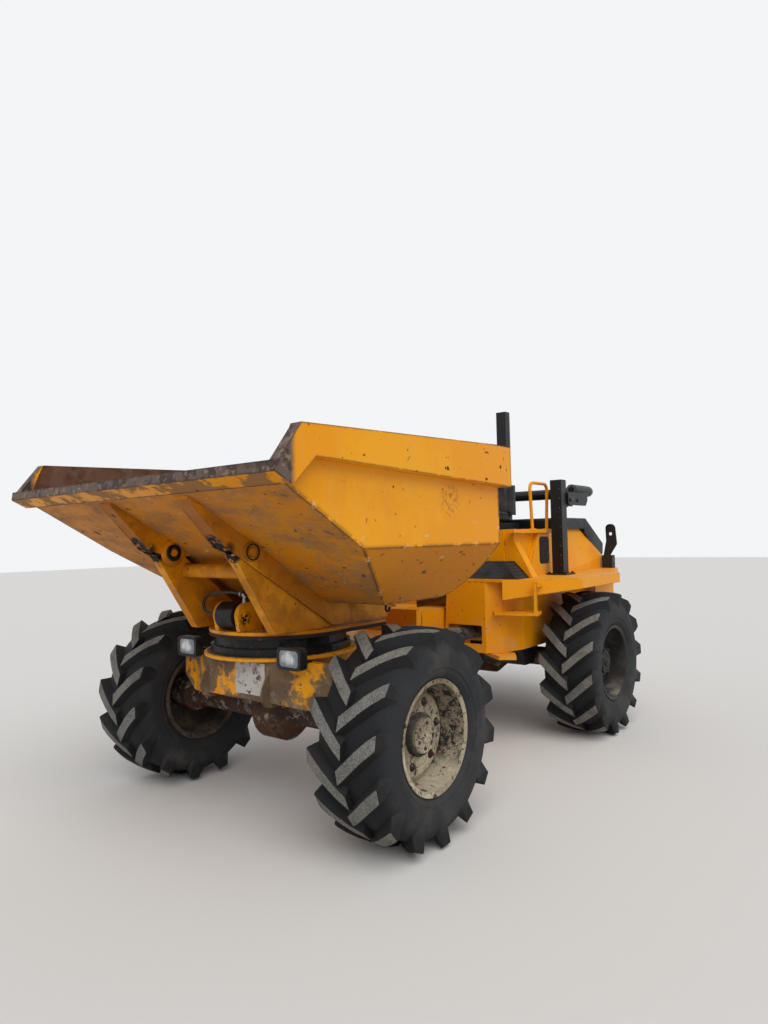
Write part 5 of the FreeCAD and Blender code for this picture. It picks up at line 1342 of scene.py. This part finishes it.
def cushion_seam():
    # Round the cushion's edge, with each corner drawn tight by three points.
    middle, half, tight, height = 1.055, (0.233, 0.168), 0.03, 1.652
    seam = []
    for sx, sy in ((1, 1), (-1, 1), (-1, -1), (1, -1)):
        x, y = half[0] * sx, half[1] * sy
        corner = [(x, middle + y - tight * sy, height), (x, middle + y, height),
                  (x - tight * sx, middle + y, height)]
        seam += corner if sx == sy else corner[::-1]
    return seam


cushion_piping = bent_rod("cushion piping", cushion_seam(), 0.0035, BLACK_RUBBER, True)
fitted_on("seat_piping", "rear_chassis", [cushion_piping])
print("footwell ready")

# %% [markdown]
# The camera stands where the photographer stood: front left, a little below eye height, and the
# lens is wide. An even sky and one sun as wide as a bright patch of cloud light the machine.

# %% Camera
def camera_turn(yaw, pitch, roll):
    back = Vector((math.sin(yaw) * math.cos(pitch), -math.cos(yaw) * math.cos(pitch), math.sin(pitch)))
    right = (-back).cross(Vector((0, 0, 1))).normalized()
    up = right.cross(-back)
    right, up = (right * math.cos(roll) + up * math.sin(roll), up * math.cos(roll) - right * math.sin(roll))
    return Matrix((right, up, back)).transposed().to_4x4()


lens = bpy.data.cameras.new("photographer")
lens.lens = 24.54
lens.sensor_width = 36
lens.sensor_fit = "AUTO"
camera = new_object("photographer", lens)
eye = spot(2.9531, -3.9566, 1.4674)
camera.matrix_world = Matrix.Translation(eye) @ camera_turn(0.6667, -0.0391, -0.0221)
bpy.context.scene.camera = camera
print("camera", [round(v, 3) for v in camera.location])

# %% Floor, sky and light
FLOOR_HALF = 40
corners = [(x, y, 0) for x, y in rectangle((-FLOOR_HALF, FLOOR_HALF), (-FLOOR_HALF, FLOOR_HALF))]
floor = make_piece("floor", corners, [(0, 1, 2, 3)], Finish("floor", (214, 210, 204), 0.95).done(), False)
world = bpy.data.worlds.new("cloudy sky")
bpy.context.scene.world = world
world.use_nodes = True
tree = world.node_tree
background = tree.nodes["Background"]
background.inputs["Color"].default_value = (0.86, 0.91, 0.98, 1)
background.inputs["Strength"].default_value = 0.60
plain = tree.nodes.new("ShaderNodeBackground")
plain.inputs["Color"].default_value = (0.90, 0.91, 0.93, 1)
plain.inputs["Strength"].default_value = 1.0
rays = tree.nodes.new("ShaderNodeLightPath")
plainly_seen = rays.outputs["Is Camera Ray"]
for kind in ("Is Transmission Ray", "Is Glossy Ray"):
    either = tree.nodes.new("ShaderNodeMath")
    either.operation = "MAXIMUM"
    tree.links.new(plainly_seen, either.inputs[0])
    tree.links.new(rays.outputs[kind], either.inputs[1])
    plainly_seen = either.outputs[0]
mix = tree.nodes.new("ShaderNodeMixShader")
tree.links.new(plainly_seen, mix.inputs[0])
tree.links.new(background.outputs[0], mix.inputs[1])
tree.links.new(plain.outputs[0], mix.inputs[2])
tree.links.new(mix.outputs[0], tree.nodes["World Output"].inputs["Surface"])


sun = bpy.data.lights.new("cloud light", "SUN")
sun.angle = math.radians(55)
sun.energy = 2.0
cloud_light = new_object("cloud light", sun)
cloud_light.rotation_euler = Vector((0.60, -0.45, 0.85)).to_track_quat("Z", "Y").to_euler()
bpy.context.scene.view_settings.view_transform = "Standard"
print("stage set")
